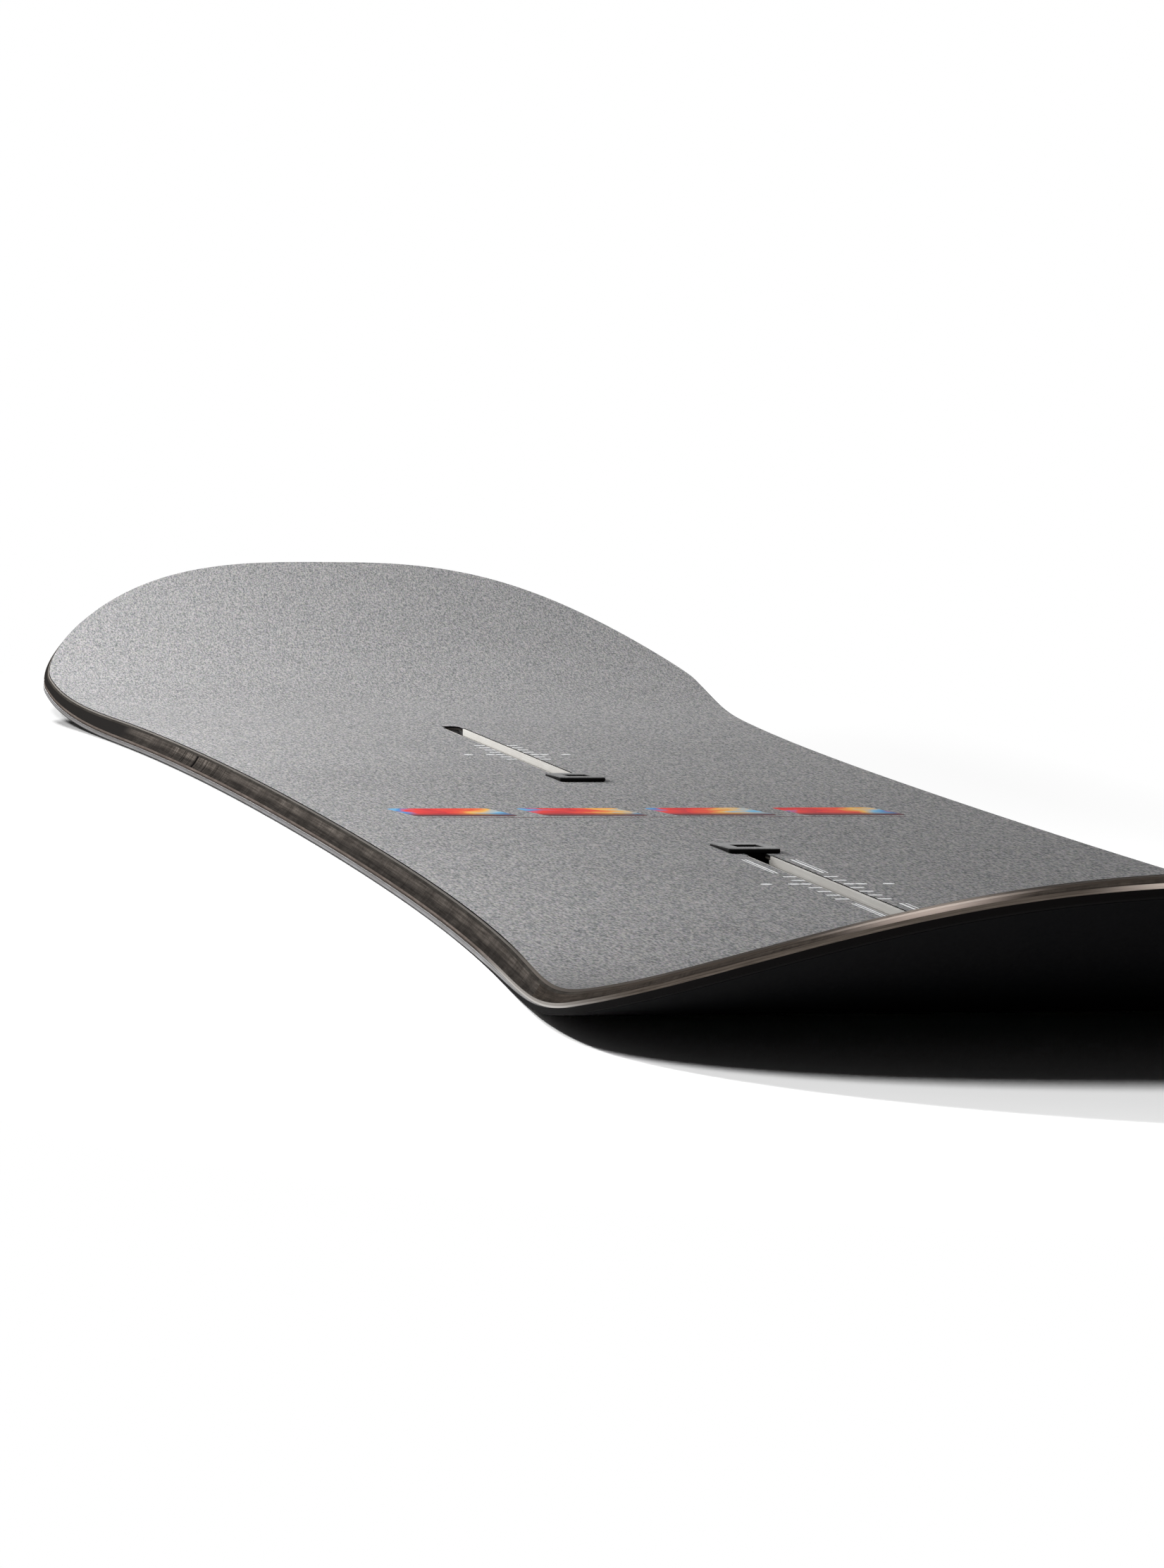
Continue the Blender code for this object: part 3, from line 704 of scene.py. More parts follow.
def slot_tools(end):
    half = SLOT_WIDTH / 2
    bar = block("slot_tool", end, MOUTH_OUTER - 0.001, SLOT_END - half, half)
    wide_bar = block("slot_tool", end, COLLARS_START - GLUE, LIPS_END + GLUE,
                     half + COLLAR_WALL + GLUE)
    mouth = block("mouth_tool", end, MOUTH_INNER, MOUTH_OUTER, MOUTH_WIDTH / 2)
    bevel_edges(mouth, inner_corner, MOUTH_CORNER, 4)
    at = (end * (SLOT_END - half), 0, (TOOL_LOW + TOOL_HIGH) / 2)
    round_end = add(bpy.ops.mesh.primitive_cylinder_add, "round_end_tool", vertices=32,
                    radius=half, depth=TOOL_HIGH - TOOL_LOW, location=at)
    return [bar, wide_bar, mouth, round_end]


def cut_with(piece, tools):
    for tool in tools:
        apply_modifier(piece, "BOOLEAN", operation="DIFFERENCE", solver="EXACT", object=tool)


def round_a_hole(edge):
    return all(abs(vert.co.y) < 0.008 and abs(vert.co.x) < 0.46 and vert.co.z > DECK - 1e-5
               for vert in edge.verts)


slot_cutters = slot_tools(1) + slot_tools(-1)
cut_with(topsheet, slot_cutters)
print("slot edges rounded:", bevel_edges(topsheet, round_a_hole, HOLE_ROUNDING, 2))
smooth(topsheet)

# %% Finishes on the topsheet's faces
ROUNDED_BELOW, SIDE_BELOW = 0.90, 0.62  # of a face's upward normal

dress(topsheet, film, "topsheet", "topsheet")
topsheet.data.materials.append(rim_film)
topsheet.data.materials.append(resin_line)
for face in topsheet.data.polygons:
    at_rim = abs(face.center.y) > 0.012 or abs(face.center.x) > 0.6
    if face.normal.z < ROUNDED_BELOW:
        face.material_index = 2 if at_rim and face.normal.z < SIDE_BELOW else 1

# %% [markdown]
# ## Glass cloths, base and rubber foil
#
# Under the film lies a cloth of glass in clear resin, which shows at the rim as a thin pale line.
# A second one under the core shows as a pinkish line with the dark rubber foil below it. The base
# is black sintered plastic with fine ground lines along it.

# %% Finishes of the thin layers
def glass_finish(name, dark, light, at_nose, highlight_before_nose=None, highlight_at=HIGHLIGHT_AT):
    """Streaky resin and glass, perhaps painted bright where the tip bends up, brown at the nose."""
    finish, tree, shader = new_finish(name, 0.5, specular=0.0)
    place = coordinates(tree, "UV")
    drawn = drawn_lines(tree, place, 60.0, 2500.0, 2.0)
    cloudy = soft_patches(tree, place, 60.0, 0.35, 0.65)
    shade = blend(tree, cloudy, blend(tree, drawn, dark, light), dark)
    # Painted highlight where the tip bends up.
    if highlight_before_nose:
        shade = turned(tree, shade, highlight_before_nose, 0.40, 0.50)["Color"]
    streaky = blend(tree, drawn, tone(58, 52, 47), at_nose)
    nosed = turned(tree, shade, streaky, 0.60, 0.70)["Color"]
    # Painted highlight at the nose.
    feed(tree, shader, {"Base Color": painted_highlight(tree, nosed, tone(206, 192, 182), highlight_at)})
    return finish


def base_finish():
    finish, tree, shader = new_finish("ground_black_base", 0.75, specular=0.01)
    drawn = drawn_lines(tree, coordinates(tree), 6.0, 1800.0, 2.0)
    feed(tree, shader, {"Base Color": blend(tree, drawn, tone(2, 2, 3), tone(11, 11, 12)),
                        "Normal": relief(tree, drawn, 0.15, 0.00005)})
    return finish


upper_glass = glass_finish("upper_glass_cloth", tone(54, 51, 48), tone(84, 80, 75),
                           tone(80, 72, 66))
# The pale fourth colours below are painted highlights where the tip bends up.
lower_glass = glass_finish("lower_glass_cloth", tone(100, 91, 85), tone(140, 129, 122),
                           tone(90, 82, 75), tone(150, 145, 140), 0.032)
foil = glass_finish("rubber_foil", tone(66, 60, 56), tone(96, 88, 83),
                    tone(108, 99, 91), tone(190, 186, 182), 0.032)
base_black = base_finish()

# %% Thin layers
BASE_TOP = 0.0012
EDGE_WIDTH = 0.0019
FOIL_EDGE = RIM_SETBACK + 0.008
WEB_EDGE = FOIL_EDGE + 0.0007

low, top = above_core(0.00005), above_core(0.0007)
cloth = full_layer("upper_glass_layer", [(flank(low), low), (flank(top), top)])
cut_with(cloth, slot_cutters)
smooth(cloth)
dress(cloth, upper_glass, "laminate", "upper_laminate")

low, flange, flange_top, web_top = (above_base(h) for h in (0.0014, 0.0025, 0.0032, 0.0019))
cloth = full_layer("lower_glass_layer", [
    (FOIL_EDGE + GLUE, low), (FOIL_EDGE + GLUE, flange), (RIM_SETBACK, flange),
    (RIM_SETBACK, flange_top), (WEB_EDGE, flange_top), (WEB_EDGE, web_top)])
smooth(cloth)
dress(cloth, lower_glass, "laminate", "lower_laminate")

sole_edge = EDGE_WIDTH + GLUE
sole = full_layer("running_base", [(sole_edge, above_base(0)), (sole_edge, above_base(BASE_TOP))])
smooth(sole)
dress(sole, base_black, "base", "base_sheet")

# %% [markdown]
# ## Steel edges, foil and sidewalls
#
# These run along one side each. The steel edge is ground at the rim and worn bright, with fine
# lines along it. Painted shade darkens its foot, and a painted dark reflection turns it black
# where it nears the nose, climbing up from the foot. The sidewall is milled plastic: its flank
# leans, its lower part is darker, and it carries long lines and short scrapes, most of them beside
# the joint between its two lengths. Near the nose the sidewall and spacers get a painted
# highlight. A strip is wrapped as the layers were, and then its long edges are rounded by the
# bevel operator.

# %% Strips along one side
JOINT = 0.0003
SPLICE_AT = -0.292


def strip(name, corners, side, x_from=-1.0, x_to=1.0):
    rows = stations(x_from, x_to)
    rails = np.array([rail_line(rows, inset, level, side) for inset, level in corners])
    beyond = side * rails[:, :, 1] < JOINT / 2
    rails[:, :, 1] = np.where(beyond, side * JOINT / 2, rails[:, :, 1])
    return wrap_grid(name, rails)


# %% Finish of the steel edges
EDGE_HEIGHT = 0.0019
REFLECTION_CLIMB = -121.0  # how much later the painted dark reflection comes for each unit of height


def steel_finish():
    finish, tree, shader = new_finish("ground_steel", 0.3, metallic=1.0, specular=0.02)
    place = coordinates(tree, "UV")
    drawn = drawn_lines(tree, place, 25.0, 6000.0, 2.2)
    dull = soft_patches(tree, place, 35.0, 0.4, 0.65)
    shade = blend(tree, drawn, tone(166, 166, 167), tone(206, 206, 207))
    worn = blend(tree, dull, shade, tone(170, 166, 162))
    height = axis(tree, "Y", place)
    shoulder = rescale(tree, height, 0.0009, EDGE_HEIGHT)
    ground = blend(tree, shoulder, worn, tone(118, 116, 115))
    # Painted shade: a dark line along the foot of the steel.
    foot_shade = rescale(tree, height, 0.0004, 0.0006)
    with_foot_shade = blend(tree, foot_shade, tone(16, 16, 16), ground)
    # Painted dark reflection: the steel turns black towards the nose, first at its foot.
    up_to_top = calc(tree, "MINIMUM", height, EDGE_HEIGHT)
    climb = calc(tree, "MULTIPLY", up_to_top, REFLECTION_CLIMB)
    nosed = turned(tree, with_foot_shade, tone(12, 11, 11), 0.32, 0.38, climb)
    fresh = rescale(tree, drawn, 0.0, 1.0, 0.26, 0.46)
    feed(tree, shader, {
        "Specular Tint": (0.5, 0.5, 0.51, 1),
        "Base Color": nosed["Color"],
        "Roughness": blend_values(tree, nosed["Mask"], fresh, 0.9),
        "Metallic": calc(tree, "SUBTRACT", 1.0, nosed["Mask"]),
        "Normal": relief(tree, drawn, 0.2, 0.00003)})
    return finish


# %% Finish of the sidewalls and spacers
STEP_BLUR = 0.0006


def milled_finish(name, dark, light, step=None):
    """Milled dark plastic: lines along it, scrapes and dull patches. It is darker below a step."""
    finish, tree, shader = new_finish(name, 0.62, specular=0.0)
    place = coordinates(tree, "UV")
    drawn = drawn_lines(tree, place, 22.0, 1600.0, 2.4)
    scrapes = drawn_lines(tree, place, 90.0, 400.0, 3.0)
    cloudy = soft_patches(tree, place, 30.0, 0.42, 0.58)
    first = blend(tree, drawn, dark, light)
    shade = blend(tree, 0.5, first, blend(tree, cloudy, first, dark))
    if step:
        ragged = calc(tree, "MULTIPLY_ADD", scrapes, -0.0010, axis(tree, "Y", place))
        above = rescale(tree, ragged, step - STEP_BLUR, step + STEP_BLUR)
        below = blend(tree, 0.55, shade, tone(24, 23, 23))
        shade = blend(tree, above, below, shade)
    scraped = blend(tree, 0.25, shade, scrapes, "SOFT_LIGHT")
    past_joint = calc(tree, "SUBTRACT", axis(tree, "X", coordinates(tree)), SPLICE_AT)
    from_joint = calc(tree, "ABSOLUTE", past_joint)
    short = drawn_lines(tree, place, 420.0, 50.0, 3.5)
    beside = rescale(tree, from_joint, 0.02, 0.11, 0.75, 0.16)
    marked = blend(tree, beside, scraped, short, "SOFT_LIGHT")
    in_joint = rescale(tree, from_joint, 0.0010, 0.0024)
    jointed = blend(tree, in_joint, tone(16, 15, 15), marked)
    tailed = turned(tree, tone(42, 40, 39), jointed, -0.47, -0.44)["Color"]
    # Painted highlight at the nose.
    feed(tree, shader, {
        "Base Color": painted_highlight(tree, tailed, tone(180, 165, 156), reach=0.022),
        "Normal": relief(tree, drawn, 0.25, 0.0001)})
    return finish


steel = steel_finish()
sidewall_milled = milled_finish("milled_sidewall", tone(58, 54, 51), tone(108, 101, 95), 0.0022)
spacer_milled = milled_finish("milled_tip_spacer", tone(46, 42, 39), tone(86, 78, 71))

# %% Steel edges and foil
SIDES = {-1: "left", 1: "right"}
TANG_END = 0.008
foot, tang_low, edge_top = above_base(0), above_base(0.0014), above_base(EDGE_HEIGHT)
edge_section = [(0.0, foot), (0.0, edge_top), (TANG_END, edge_top), (TANG_END, tang_low),
                (EDGE_WIDTH, tang_low), (EDGE_WIDTH, foot)]
foil_section = [(RIM_SETBACK, above_base(0.00193)), (RIM_SETBACK, above_base(0.00247)),
                (FOIL_EDGE, above_base(0.0024)), (FOIL_EDGE, above_base(0.0021))]
for side, side_name in SIDES.items():
    edge = strip(f"ground_steel_edge_{side_name}", edge_section, side)
    bevel_edges(edge, lambda e: all(abs(vert.co.y) > 0.001 for vert in e.verts), 0.00025, 2)
    smooth(edge)
    dress(edge, steel, "edge_steel", f"steel_edge_{side_name}")
    band = strip(f"foil_strip_{side_name}", foil_section, side)
    smooth(band)
    dress(band, foil, "damper", f"edge_damper_{side_name}")

# %% Sidewalls
SIDEWALL_WIDTH = 0.010
SPACER_AT = 0.560
HOLLOWING = ((0, 0), (0.15, 0.00012), (0.35, 0.00022), (0.55, 0.00018), (0.8, 0.00006), (1, 0))
wall_low, wall_top = above_base(0.00325), above_core(0.00002)


def between(share):
    """A level between the sidewall's bottom and top."""
    return lambda x: wall_low(x) + share * (wall_top(x) - wall_low(x))


flank_section = [(flank(between(share), dip), between(share)) for share, dip in HOLLOWING]
wall_section = flank_section + [(SIDEWALL_WIDTH, wall_top), (SIDEWALL_WIDTH, wall_low)]
spans = {"rear": (-SPACER_AT + JOINT / 2, SPLICE_AT - JOINT / 2),
         "front": (SPLICE_AT + JOINT / 2, SPACER_AT - JOINT / 2)}
for side, side_name in SIDES.items():
    for end_name, span in spans.items():
        wall = strip(f"milled_sidewall_{side_name}_{end_name}", wall_section, side, *span)
        smooth(wall)
        dress(wall, sidewall_milled, "sidewall", f"sidewall_{side_name}_{end_name}")

# %% [markdown]
# ## Tip spacers
#
# Past the ends of the wood core, the board is filled with plastic that carries the sidewall's
# line on round the nose and the tail. A whole layer is wrapped first, and the middle of the board
# is then cut away from it with the bisect operator, which also closes the cut.

# %% Tip spacers
seat = SIDEWALL_WIDTH + GLUE
for end, tip_name in ((1, "nose"), (-1, "tail")):
    spacer = full_layer(f"milled_spacer_{tip_name}", [
        (seat, above_base(CORE_LOW)), (seat, wall_low)] + flank_section)
    with editing(spacer):
        bpy.ops.mesh.bisect(plane_co=(end * (SPACER_AT + JOINT / 2), 0, 0), plane_no=(end, 0, 0),
                            use_fill=True, clear_inner=True)
    smooth(spacer)
    dress(spacer, spacer_milled, "spacer", f"tip_spacer_{tip_name}")

# %% [markdown]
# ## The channel under each slot
#
# Two rails of pale pultruded composite face each other across the slot. Their collars rise almost
# to the deck, and their lips hold the nuts. The model has the right shapes with sharp edges, so
# each is copied, its loose triangles are merged, and its edges are rounded with a Bevel modifier.

# %% Softened copies
def softened(node, name, width, segments=2):
    """A copy of one of the model's nodes with rounded edges."""
    only(frame["nodes"][node])
    bpy.ops.object.duplicate()
    piece = bpy.context.object
    piece.name = piece.data.name = name
    piece.parent = None
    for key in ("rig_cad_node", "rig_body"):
        if key in piece:
            del piece[key]
    with editing(piece):
        bpy.ops.mesh.remove_doubles(threshold=MERGE_BELOW)
        bpy.ops.mesh.dissolve_limited(angle_limit=math.radians(0.5))
    apply_modifier(piece, "BEVEL", width=width, segments=segments, limit_method="ANGLE",
                   angle_limit=math.radians(30))
    smooth(piece, 30)
    return piece


def composite_finish():
    finish, tree, shader = new_finish("pale_composite", 0.6, specular=0.2)
    place = coordinates(tree)
    drawn = drawn_lines(tree, place, 5.0, 2600.0, 2.4)
    cloudy = soft_patches(tree, place, 45.0, 0.4, 0.6)
    shade = blend(tree, drawn, tone(164, 162, 157), tone(192, 190, 185))
    feed(tree, shader, {"Base Color": blend(tree, cloudy, shade, tone(174, 171, 166)),
                        "Normal": relief(tree, drawn, 0.3, 0.0001)})
    return finish


def moulded_finish(name, dark, light, roughness, specular):
    """Moulded black plastic or rubber: an almost even tone, a fine pebble and dusty patches."""
    finish, tree, shader = new_finish(name, roughness, specular=specular)
    place = coordinates(tree)
    pebble = grained(tree, place, 2600.0, 1.6)["Mask"]
    dust = soft_patches(tree, place, 140.0, 0.45, 0.75)
    shade = blend(tree, pebble, dark, light)
    feed(tree, shader, {"Base Color": blend(tree, dust, shade, light),
                        "Normal": relief(tree, pebble, 0.2, 0.00005)})
    return finish


composite = composite_finish()
black_plastic_and_shade = moulded_finish("moulded_black_plastic_and_shade", tone(8, 8, 8), tone(24, 23, 23),
                               0.55, 0.05)
rubber = moulded_finish("moulded_rubber", tone(4, 4, 4), tone(14, 13, 13), 0.5, 0.02)
rubber_top = moulded_finish("grey_rubber_top", tone(88, 88, 89), tone(136, 136, 136), 0.55, 0.1)

# %% Rails, frames, end blocks and floors
RAIL_ROUNDING = 0.00012
BLOCK_ROUNDING = 0.0002

for end_name in ("front", "rear"):
    for side_name in ("left", "right"):
        node = f"slot_rail_{side_name}_{end_name}"
        rail = softened(node, f"pultruded_rail_{side_name}_{end_name}", RAIL_ROUNDING)
        dress(rail, composite, "rail", node)
    # The mouth frames and end blocks are moulded black plastic; their black also stands in for the
    # shade in the pockets at the slot's ends, as painted shade.
    for part in ("mouth_frame", "end_block"):
        moulding = softened(f"slot_{part}_{end_name}", f"moulded_{part}_{end_name}",
                            BLOCK_ROUNDING)
        dress(moulding, black_plastic_and_shade, "block", f"slot_{part}_{end_name}")
    channel_floor = frame["nodes"][f"slot_floor_{end_name}"]
    channel_floor.data.materials.clear()
    channel_floor.data.materials.append(composite)
    finished["rail"].append(channel_floor)

# %% [markdown]
# ## Slot covers
#
# A rubber cover closes each mouth: a thin plate on the deck with chamfered edges, a plug under
# it, and a shallow recess to lift it by. It moves with its own body, so it rides on that one. Its
# top slopes down towards the tail. Its highest faces get a second, grey finish, while its sides
# and the recess stay black.

# %% Covers
COVER_ROUNDING = 0.0003
COVER_THINNING = 0.0011
THINNED_ABOVE, THINNED_OVER = 0.0003, 0.0006
GREY_TOP_ABOVE = 0.0012
RECESS_WALL = 0.005
RECESS_HALF_WIDTH = 0.0055
RECESS_ABOVE = 0.0005
RECESS_STRETCH = 0.006

for end_name in ("front", "rear"):
    cover = softened(f"slot_cover_{end_name}", f"rubber_cover_{end_name}", COVER_ROUNDING, 3)
    low, high = (corner.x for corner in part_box(f"slot_cover_{end_name}"))
    worn = [face.index for face in cover.data.polygons
            if face.normal.z > 0.6 and face.center.z > DECK + GREY_TOP_ABOVE]
    near_wall = (low + high) / 2 + RECESS_WALL
    for vert in cover.data.vertices:
        at_wall = abs(vert.co.x - near_wall) < 0.001 and abs(vert.co.y) < RECESS_HALF_WIDTH
        if at_wall and vert.co.z > DECK + RECESS_ABOVE:
            vert.co.x += RECESS_STRETCH
        share = (high - vert.co.x) / (high - low)
        raised = min(max((vert.co.z - DECK - THINNED_ABOVE) / THINNED_OVER, 0), 1)
        vert.co.z -= COVER_THINNING * share * raised
    smooth(cover, 30)
    dress(cover, rubber, "cover", f"slot_cover_{end_name}", body=f"cover_{end_name}")
    cover.data.materials.append(rubber_top)
    for index in worn:
        cover.data.polygons[index].material_index = 1

# %% [markdown]
# ## Printed marks
#
# Beside each slot a row of short strokes is a scale for placing the binding, and round dots mark
# the middle of the stance. Thin rules run beside the near slot. They could be painted in the
# film's finish, but then they would blur close up, so each is a flat slab of ink that stands
# 0.03 mm out of the deck. A shape is added, stretched and moved in edit mode, one after another.

# %% Ink
INK_LOW = DECK - 0.00003
INK_HEIGHT = 0.00006
STANCE_AT = 0.280
TICK_PITCH = 0.0125
TICK_NUMBERS = (-2, -1, 1, 2, 3, 4)
TICK_ASIDE, TICK_LENGTH, TICK_WIDTH = 0.0066, 0.0026, 0.0042
DOTS_ASIDE = (0.0069, 0.0107, 0.0194)
DOT = 0.0038


def ink(name, shapes, finish):
    """Flat slabs of ink. A shape is x, y, its size along and across, and its corners."""
    piece = add(bpy.ops.mesh.primitive_circle_add, name, vertices=4, radius=0.001,
                fill_type="NGON")
    with editing(piece):
        bpy.ops.mesh.delete(type="VERT")
        for x, y, along, across, corners in shapes:
            turn, radius = (math.pi / 4, math.sqrt(0.5)) if corners == 4 else (0, 0.5)
            bpy.ops.mesh.primitive_circle_add(vertices=corners, radius=radius,
                                              fill_type="NGON", rotation=(0, 0, turn))
            bpy.ops.transform.resize(value=(along, across, 1))
            bpy.ops.transform.translate(value=(x, y, INK_LOW))
            bpy.ops.mesh.select_all(action="DESELECT")
        bpy.ops.mesh.select_all(action="SELECT")
        bpy.ops.mesh.extrude_region_move(TRANSFORM_OT_translate={"value": (0, 0, INK_HEIGHT)})
        bpy.ops.mesh.select_all(action="SELECT")
        bpy.ops.mesh.normals_make_consistent(inside=False)
    dress(piece, finish, "topsheet")
    return piece


def ink_finish():
    finish, tree, shader = new_finish("pale_ink", 0.35, specular=0.5)
    worn = grained(tree, coordinates(tree), 900.0, 2.0)["Mask"]
    feed(tree, shader, {"Base Color": blend(tree, worn, tone(222, 225, 228), tone(250, 251, 252))})
    return finish


pale_ink = ink_finish()
for end, end_name in ((1, "front"), (-1, "rear")):
    strokes = [(end * (STANCE_AT + number * TICK_PITCH), side * TICK_ASIDE, TICK_LENGTH,
                TICK_WIDTH, 4) for number in TICK_NUMBERS for side in SIDES]
    ink(f"screw_place_strokes_{end_name}", strokes, pale_ink)
    dots = [(end * STANCE_AT, side * y, DOT, DOT, 20) for side in SIDES for y in DOTS_ASIDE]
    ink(f"stance_dots_{end_name}", dots, pale_ink)
rules = [(0.2175, -0.0090, 0.050, 0.0004, 4), (0.2175, 0.0087, 0.048, 0.0004, 4),
         (0.2175, -0.0078, 0.050, 0.0006, 4), (0.2175, 0.0072, 0.048, 0.0008, 4),
         (0.3650, -0.0069, 0.041, 0.0004, 4), (0.3650, 0.0098, 0.041, 0.0004, 4),
         (0.3650, -0.0057, 0.041, 0.0006, 4), (0.3650, 0.0080, 0.041, 0.0008, 4)]
ink("slot_side_rules", rules, pale_ink)

# %% [markdown]
# ## The middle of the deck
#
# Between the slots the deck carries a plain generic pattern in red, orange, yellow and blue: four
# slanted bars in a row across the board. A bar is a flat rectangle whose far edge is moved
# sideways, with its upright edges rounded, and a thin line runs across beside the row.

# %% Finish of the coloured bars
BANDS = [(0.0, (214, 30, 34)), (0.2, (226, 74, 40)), (0.36, (238, 184, 84)),
         (0.5, (120, 186, 222)), (0.62, (60, 128, 190)), (0.74, (224, 48, 42)),
         (1.0, (186, 24, 32))]
BANDS_PER_METRE = 22.7


def bar_finish():
    """Bands of colour across the bar, bent a little by noise and darker towards the nose."""
    finish, tree, shader = new_finish("coloured_ink", 0.5, specular=0.02)
    place = coordinates(tree)
    clouds = soft_patches(tree, place, 55.0, 0.3, 0.7)
    across = calc(tree, "MULTIPLY_ADD", axis(tree, "Y", place), BANDS_PER_METRE, 0.5)
    bent = calc(tree, "MULTIPLY_ADD", clouds, 0.35, across)
    ramp = tree.nodes.new("ShaderNodeValToRGB")
    feed(tree, ramp, {"Fac": calc(tree, "FRACT", bent)})
    while len(ramp.color_ramp.elements) < len(BANDS):
        ramp.color_ramp.elements.new(0.5)
    for element, (position, colour) in zip(ramp.color_ramp.elements, BANDS):
        element.position = position
        element.color = tone(*colour)
    along = rescale(tree, axis(tree, "X", place), 0.003, 0.013)
    feed(tree, shader, {"Base Color": blend(tree, along, ramp.outputs[0], tone(70, 22, 28))})
    return finish


# %% Coloured bars
BAR_COUNT = 4
FIRST_BAR_AT, BAR_PITCH = -0.069, 0.046
BAR_LENGTH, BAR_WIDTH = 0.034, 0.036
BAR_SLANT = -0.006
BAR_CORNER = 0.003

coloured_ink = bar_finish()
for number in range(BAR_COUNT):
    shape = (0.0, FIRST_BAR_AT + number * BAR_PITCH, BAR_LENGTH, BAR_WIDTH, 4)
    bar = ink(f"coloured_bar_{number + 1}", [shape], coloured_ink)
    with editing(bar):
        bm = bmesh.from_edit_mesh(bar.data)
        for vert in bm.verts:
            vert.select_set(vert.co.x < 0)
        bm.select_flush_mode()
        bmesh.update_edit_mesh(bar.data)
        bpy.ops.transform.translate(value=(0, BAR_SLANT, 0))
    bevel_edges(bar, lambda edge: upright(edge, 1e-5), BAR_CORNER, 4)
ink("coloured_bar_line", [(0.023, 0.0, 0.0012, 0.17, 4)], coloured_ink)

# %% [markdown]
# ## The wood core
#
# The laths inside are seen only where the board is taken apart, but they are still wood: long
# grain with darker late rings.

# %% Wood core
def wood_finish():
    finish, tree, shader = new_finish("light_wood", 0.65)
    place = coordinates(tree)
    fibres = drawn_lines(tree, place, 4.0, 900.0, 1.6)
    rings = drawn_lines(tree, place, 1.2, 110.0, 2.6)
    shade = blend(tree, fibres, tone(172, 138, 98), tone(214, 184, 144))
    feed(tree, shader, {"Base Color": blend(tree, rings, shade, tone(190, 152, 108)),
                        "Normal": relief(tree, fibres, 0.2, 0.0001)})
    return finish


wood = wood_finish()
for name, lath in frame["nodes"].items():
    if name.startswith("core_strip"):
        lath.data.materials.clear()
        lath.data.materials.append(wood)

for tool in slot_cutters:
    bpy.data.objects.remove(tool)

# %% [markdown]
# ## Floor and light
#
# The board lies on a white floor with white all round. One light for all of it would be simpler,
# but the lamps that draw shadows on a white floor are so strong that they turn the deck white too.
# So a weak level world fills the shadows, and each lamp lights only the pieces that it is linked
# to. The deck has a wide lamp above it and two long ones low on its left, which make it paler on
# that side and towards the tail. The flanks and the covers have lamps of their own. Three lamps
# draw the board's shadows on the floor. They reach only so far, so away from the board the floor
# turns into plain white. From below the floor is clear, so that the base can be looked at.

# %% Floor
FLOOR_LEVEL = -0.0002
FLOOR_SIZE = 40
WHITE = (1, 1, 1, 1)
LIT_HALF_LENGTH = 0.67
RIGHT_WEIGHT = 1.3  # the white begins closer on the right side
WHITE_FROM, WHITE_AT = 0.24, 0.32


def grey(level):
    return (level, level, level, 1)


floor = add(bpy.ops.mesh.primitive_plane_add, "floor", size=FLOOR_SIZE,
            location=(0, 0, FLOOR_LEVEL))
floor_finish = bpy.data.materials.new("white_floor")
floor_finish.use_nodes = True
tree = floor_finish.node_tree
tree.nodes.remove(tree.nodes["Principled BSDF"])
plain = add_node(tree, "BsdfDiffuse", {"Color": grey(0.85)})[0]
seen = add_node(tree, "BsdfDiffuse", {"Color": grey(1.15)})[0]
glow = add_node(tree, "Emission", {"Color": WHITE, "Strength": 1.0})[0]
clear = add_node(tree, "BsdfTransparent")[0]
place = coordinates(tree)
along = calc(tree, "ABSOLUTE", axis(tree, "X", place))
past_end = calc(tree, "MAXIMUM", calc(tree, "SUBTRACT", along, LIT_HALF_LENGTH), 0.0)
to_right = calc(tree, "MULTIPLY", axis(tree, "Y", place), RIGHT_WEIGHT)
to_left = calc(tree, "MULTIPLY", axis(tree, "Y", place), -1.0)
offset = add_node(tree, "CombineXYZ", {
    "X": past_end, "Y": calc(tree, "MAXIMUM", to_right, to_left)})[0]
distance = add_node(tree, "VectorMath", {0: offset}, operation="LENGTH")["Value"]
pale = blend_shaders(tree, rescale(tree, distance, WHITE_FROM, WHITE_AT), seen, glow)
either = blend_shaders(tree, add_node(tree, "LightPath")["Is Camera Ray"], plain, pale)
one_sided = blend_shaders(tree, add_node(tree, "NewGeometry")["Backfacing"], either, clear)
feed(tree, tree.nodes["Material Output"], {"Surface": one_sided})
floor.data.materials.append(floor_finish)
floor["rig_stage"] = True

# %% World
WORLD_LEVEL = 0.12
world = bpy.data.worlds.new("studio")
bpy.context.scene.world = world
world.use_nodes = True
tree = world.node_tree
tree.nodes.clear()
path = add_node(tree, "LightPath")
shown = calc(tree, "MAXIMUM", path["Is Camera Ray"], path["Is Glossy Ray"])
shown = calc(tree, "MAXIMUM", shown, path["Is Transmission Ray"])
level = add_node(tree, "Background", {"Color": WHITE, "Strength": WORLD_LEVEL})[0]
white = add_node(tree, "Background", {"Color": WHITE, "Strength": 1.0})[0]
add_node(tree, "OutputWorld", {"Surface": blend_shaders(tree, shown, level, white)})

# %% Lamps
def point_lamp(name, at, energy, radius):
    """A round lamp with falloff, which draws a shadow that is sharper the smaller it is."""
    lamp = add(bpy.ops.object.light_add, name, type="POINT", location=at)
    lamp.data.energy = energy
    lamp.data.shadow_soft_size = radius
    return lamp


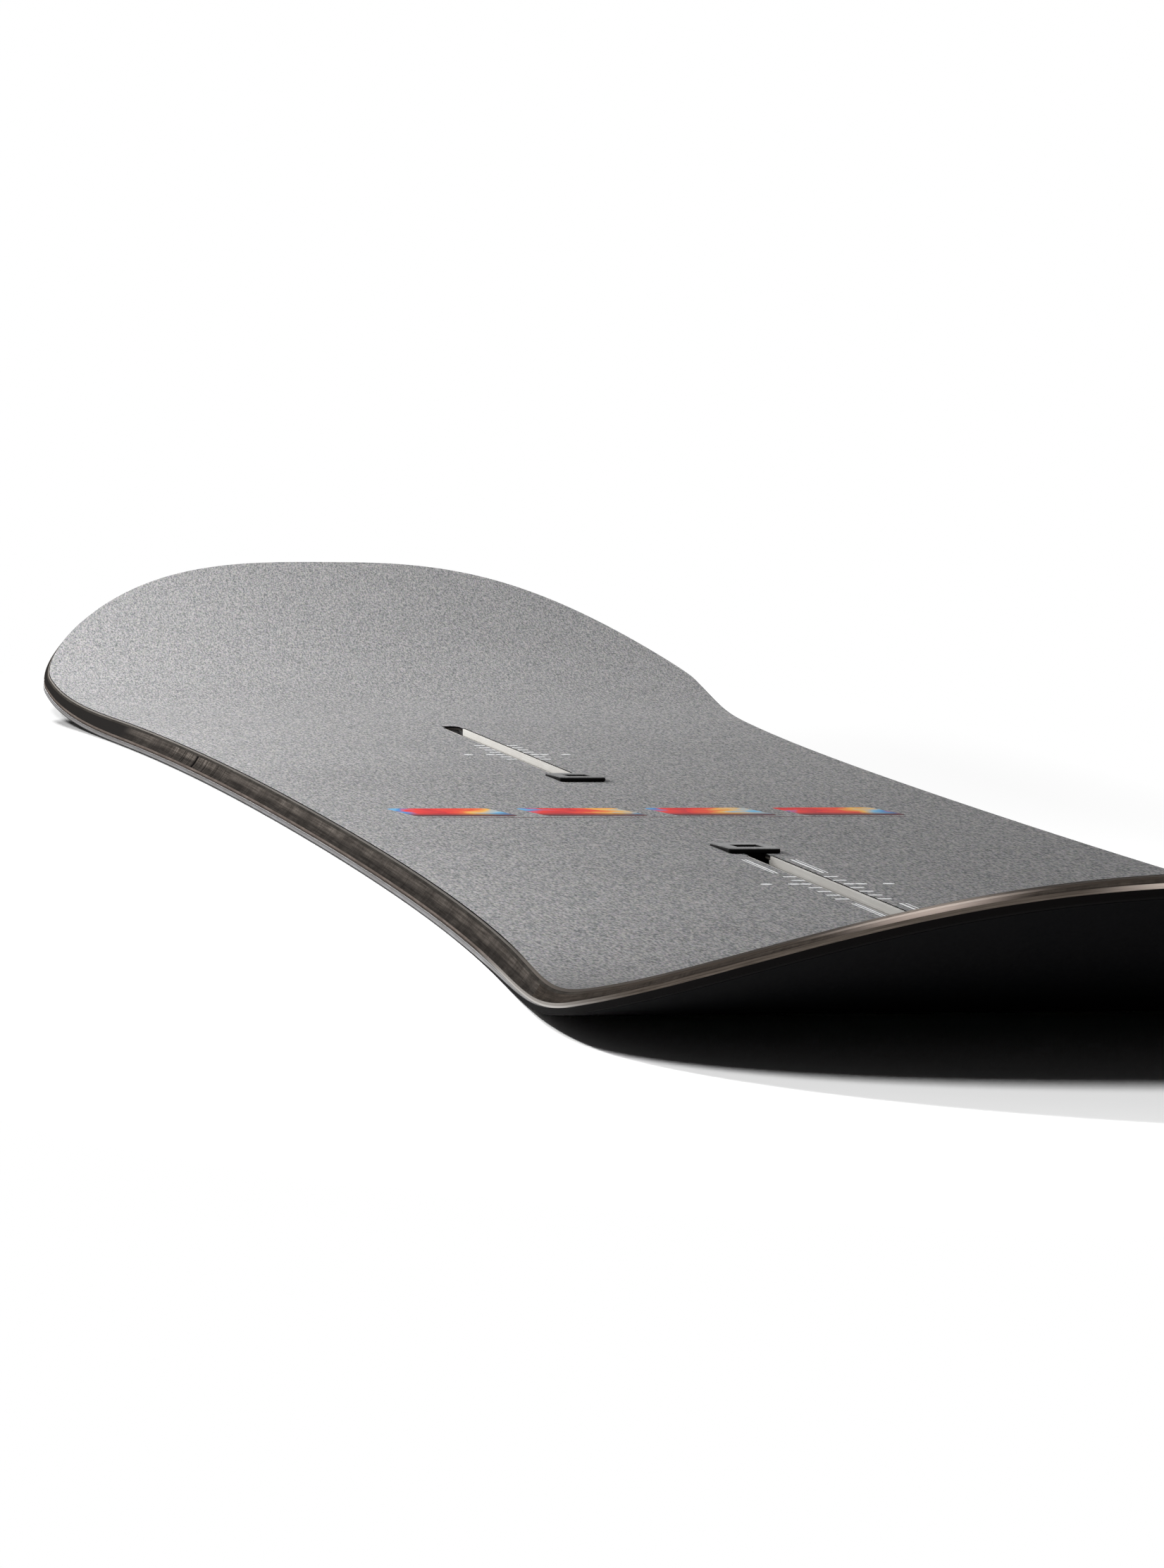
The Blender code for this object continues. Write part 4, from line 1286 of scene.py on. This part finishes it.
def strip_lamp(name, at, length, width, energy):
    """A long flat lamp beside or above the board, turned to the board's middle line."""
    lamp = add(bpy.ops.object.light_add, name, type="AREA", location=at)
    lamp.data.shape = "RECTANGLE"
    lamp.data.size = length
    lamp.data.size_y = width
    lamp.data.energy = energy
    lamp.rotation_euler = Vector((0, at[1], at[2])).to_track_quat("Z", "Y").to_euler()
    return lamp


floor_lamps = [point_lamp("front_shadow_lamp", (2.64, -0.87, 1.2), 275, 0.165),
               point_lamp("left_shadow_lamp", (0.82, -0.92, 0.9), 40, 0.05),
               point_lamp("back_shadow_lamp", (-3.0, -0.15, 0.6), 480, 0.1)]
cover_lamps = [point_lamp("cover_lamp", (0.3, 0, 1.5), 80, 0.3)]
deck_lamps = [strip_lamp("tail_side_lamp", (-1.1, -0.6, 0.3), 1.0, 0.2, 18.5),
              strip_lamp("nose_side_lamp", (0.05, -0.22, 0.12), 1.0, 0.1, 1.0),
              strip_lamp("overhead_lamp", (0.0, 0.0, 1.6), 3.0, 1.5, 9.5)]
flank_lamps = [strip_lamp("left_flank_lamp", (-0.5, -0.8, 0.5), 1.6, 0.3, 9),
               strip_lamp("right_flank_lamp", (0, 0.8, 0.5), 2.4, 0.3, 7),
               point_lamp("nose_flank_lamp", (1.6, -1.25, 0.9), 56, 0.2),
               point_lamp("tail_flank_lamp", (-2.2, -0.2, 0.9), 60, 0.2)]


def light_only(lamps, name, objects):
    """Links lamps to the only objects that they light."""
    lit = bpy.data.collections.new(name)
    for thing in objects:
        lit.objects.link(thing)
    for lamp in lamps:
        lamp.light_linking.receiver_collection = lit


def pieces(*slots):
    return [piece for slot in slots for piece in finished[slot]]


light_only(floor_lamps, "lit_floor", [floor])
light_only(deck_lamps, "lit_deck", pieces("topsheet", "rail", "block"))
light_only(cover_lamps, "lit_covers", pieces("cover"))
light_only(flank_lamps, "lit_flank",
           pieces("edge_steel", "damper", "laminate", "sidewall", "spacer"))
bpy.context.scene.view_settings.view_transform = "Standard"
print("lamps", len(floor_lamps + cover_lamps + deck_lamps + flank_lamps))

# %% [markdown]
# ## The size of the board
#
# The visual board's box is printed. The visual board may not be bigger than the model.

# %% Size
low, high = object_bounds()
print("visual box", [[round(v, 4) for v in corner] for corner in (low, high)])
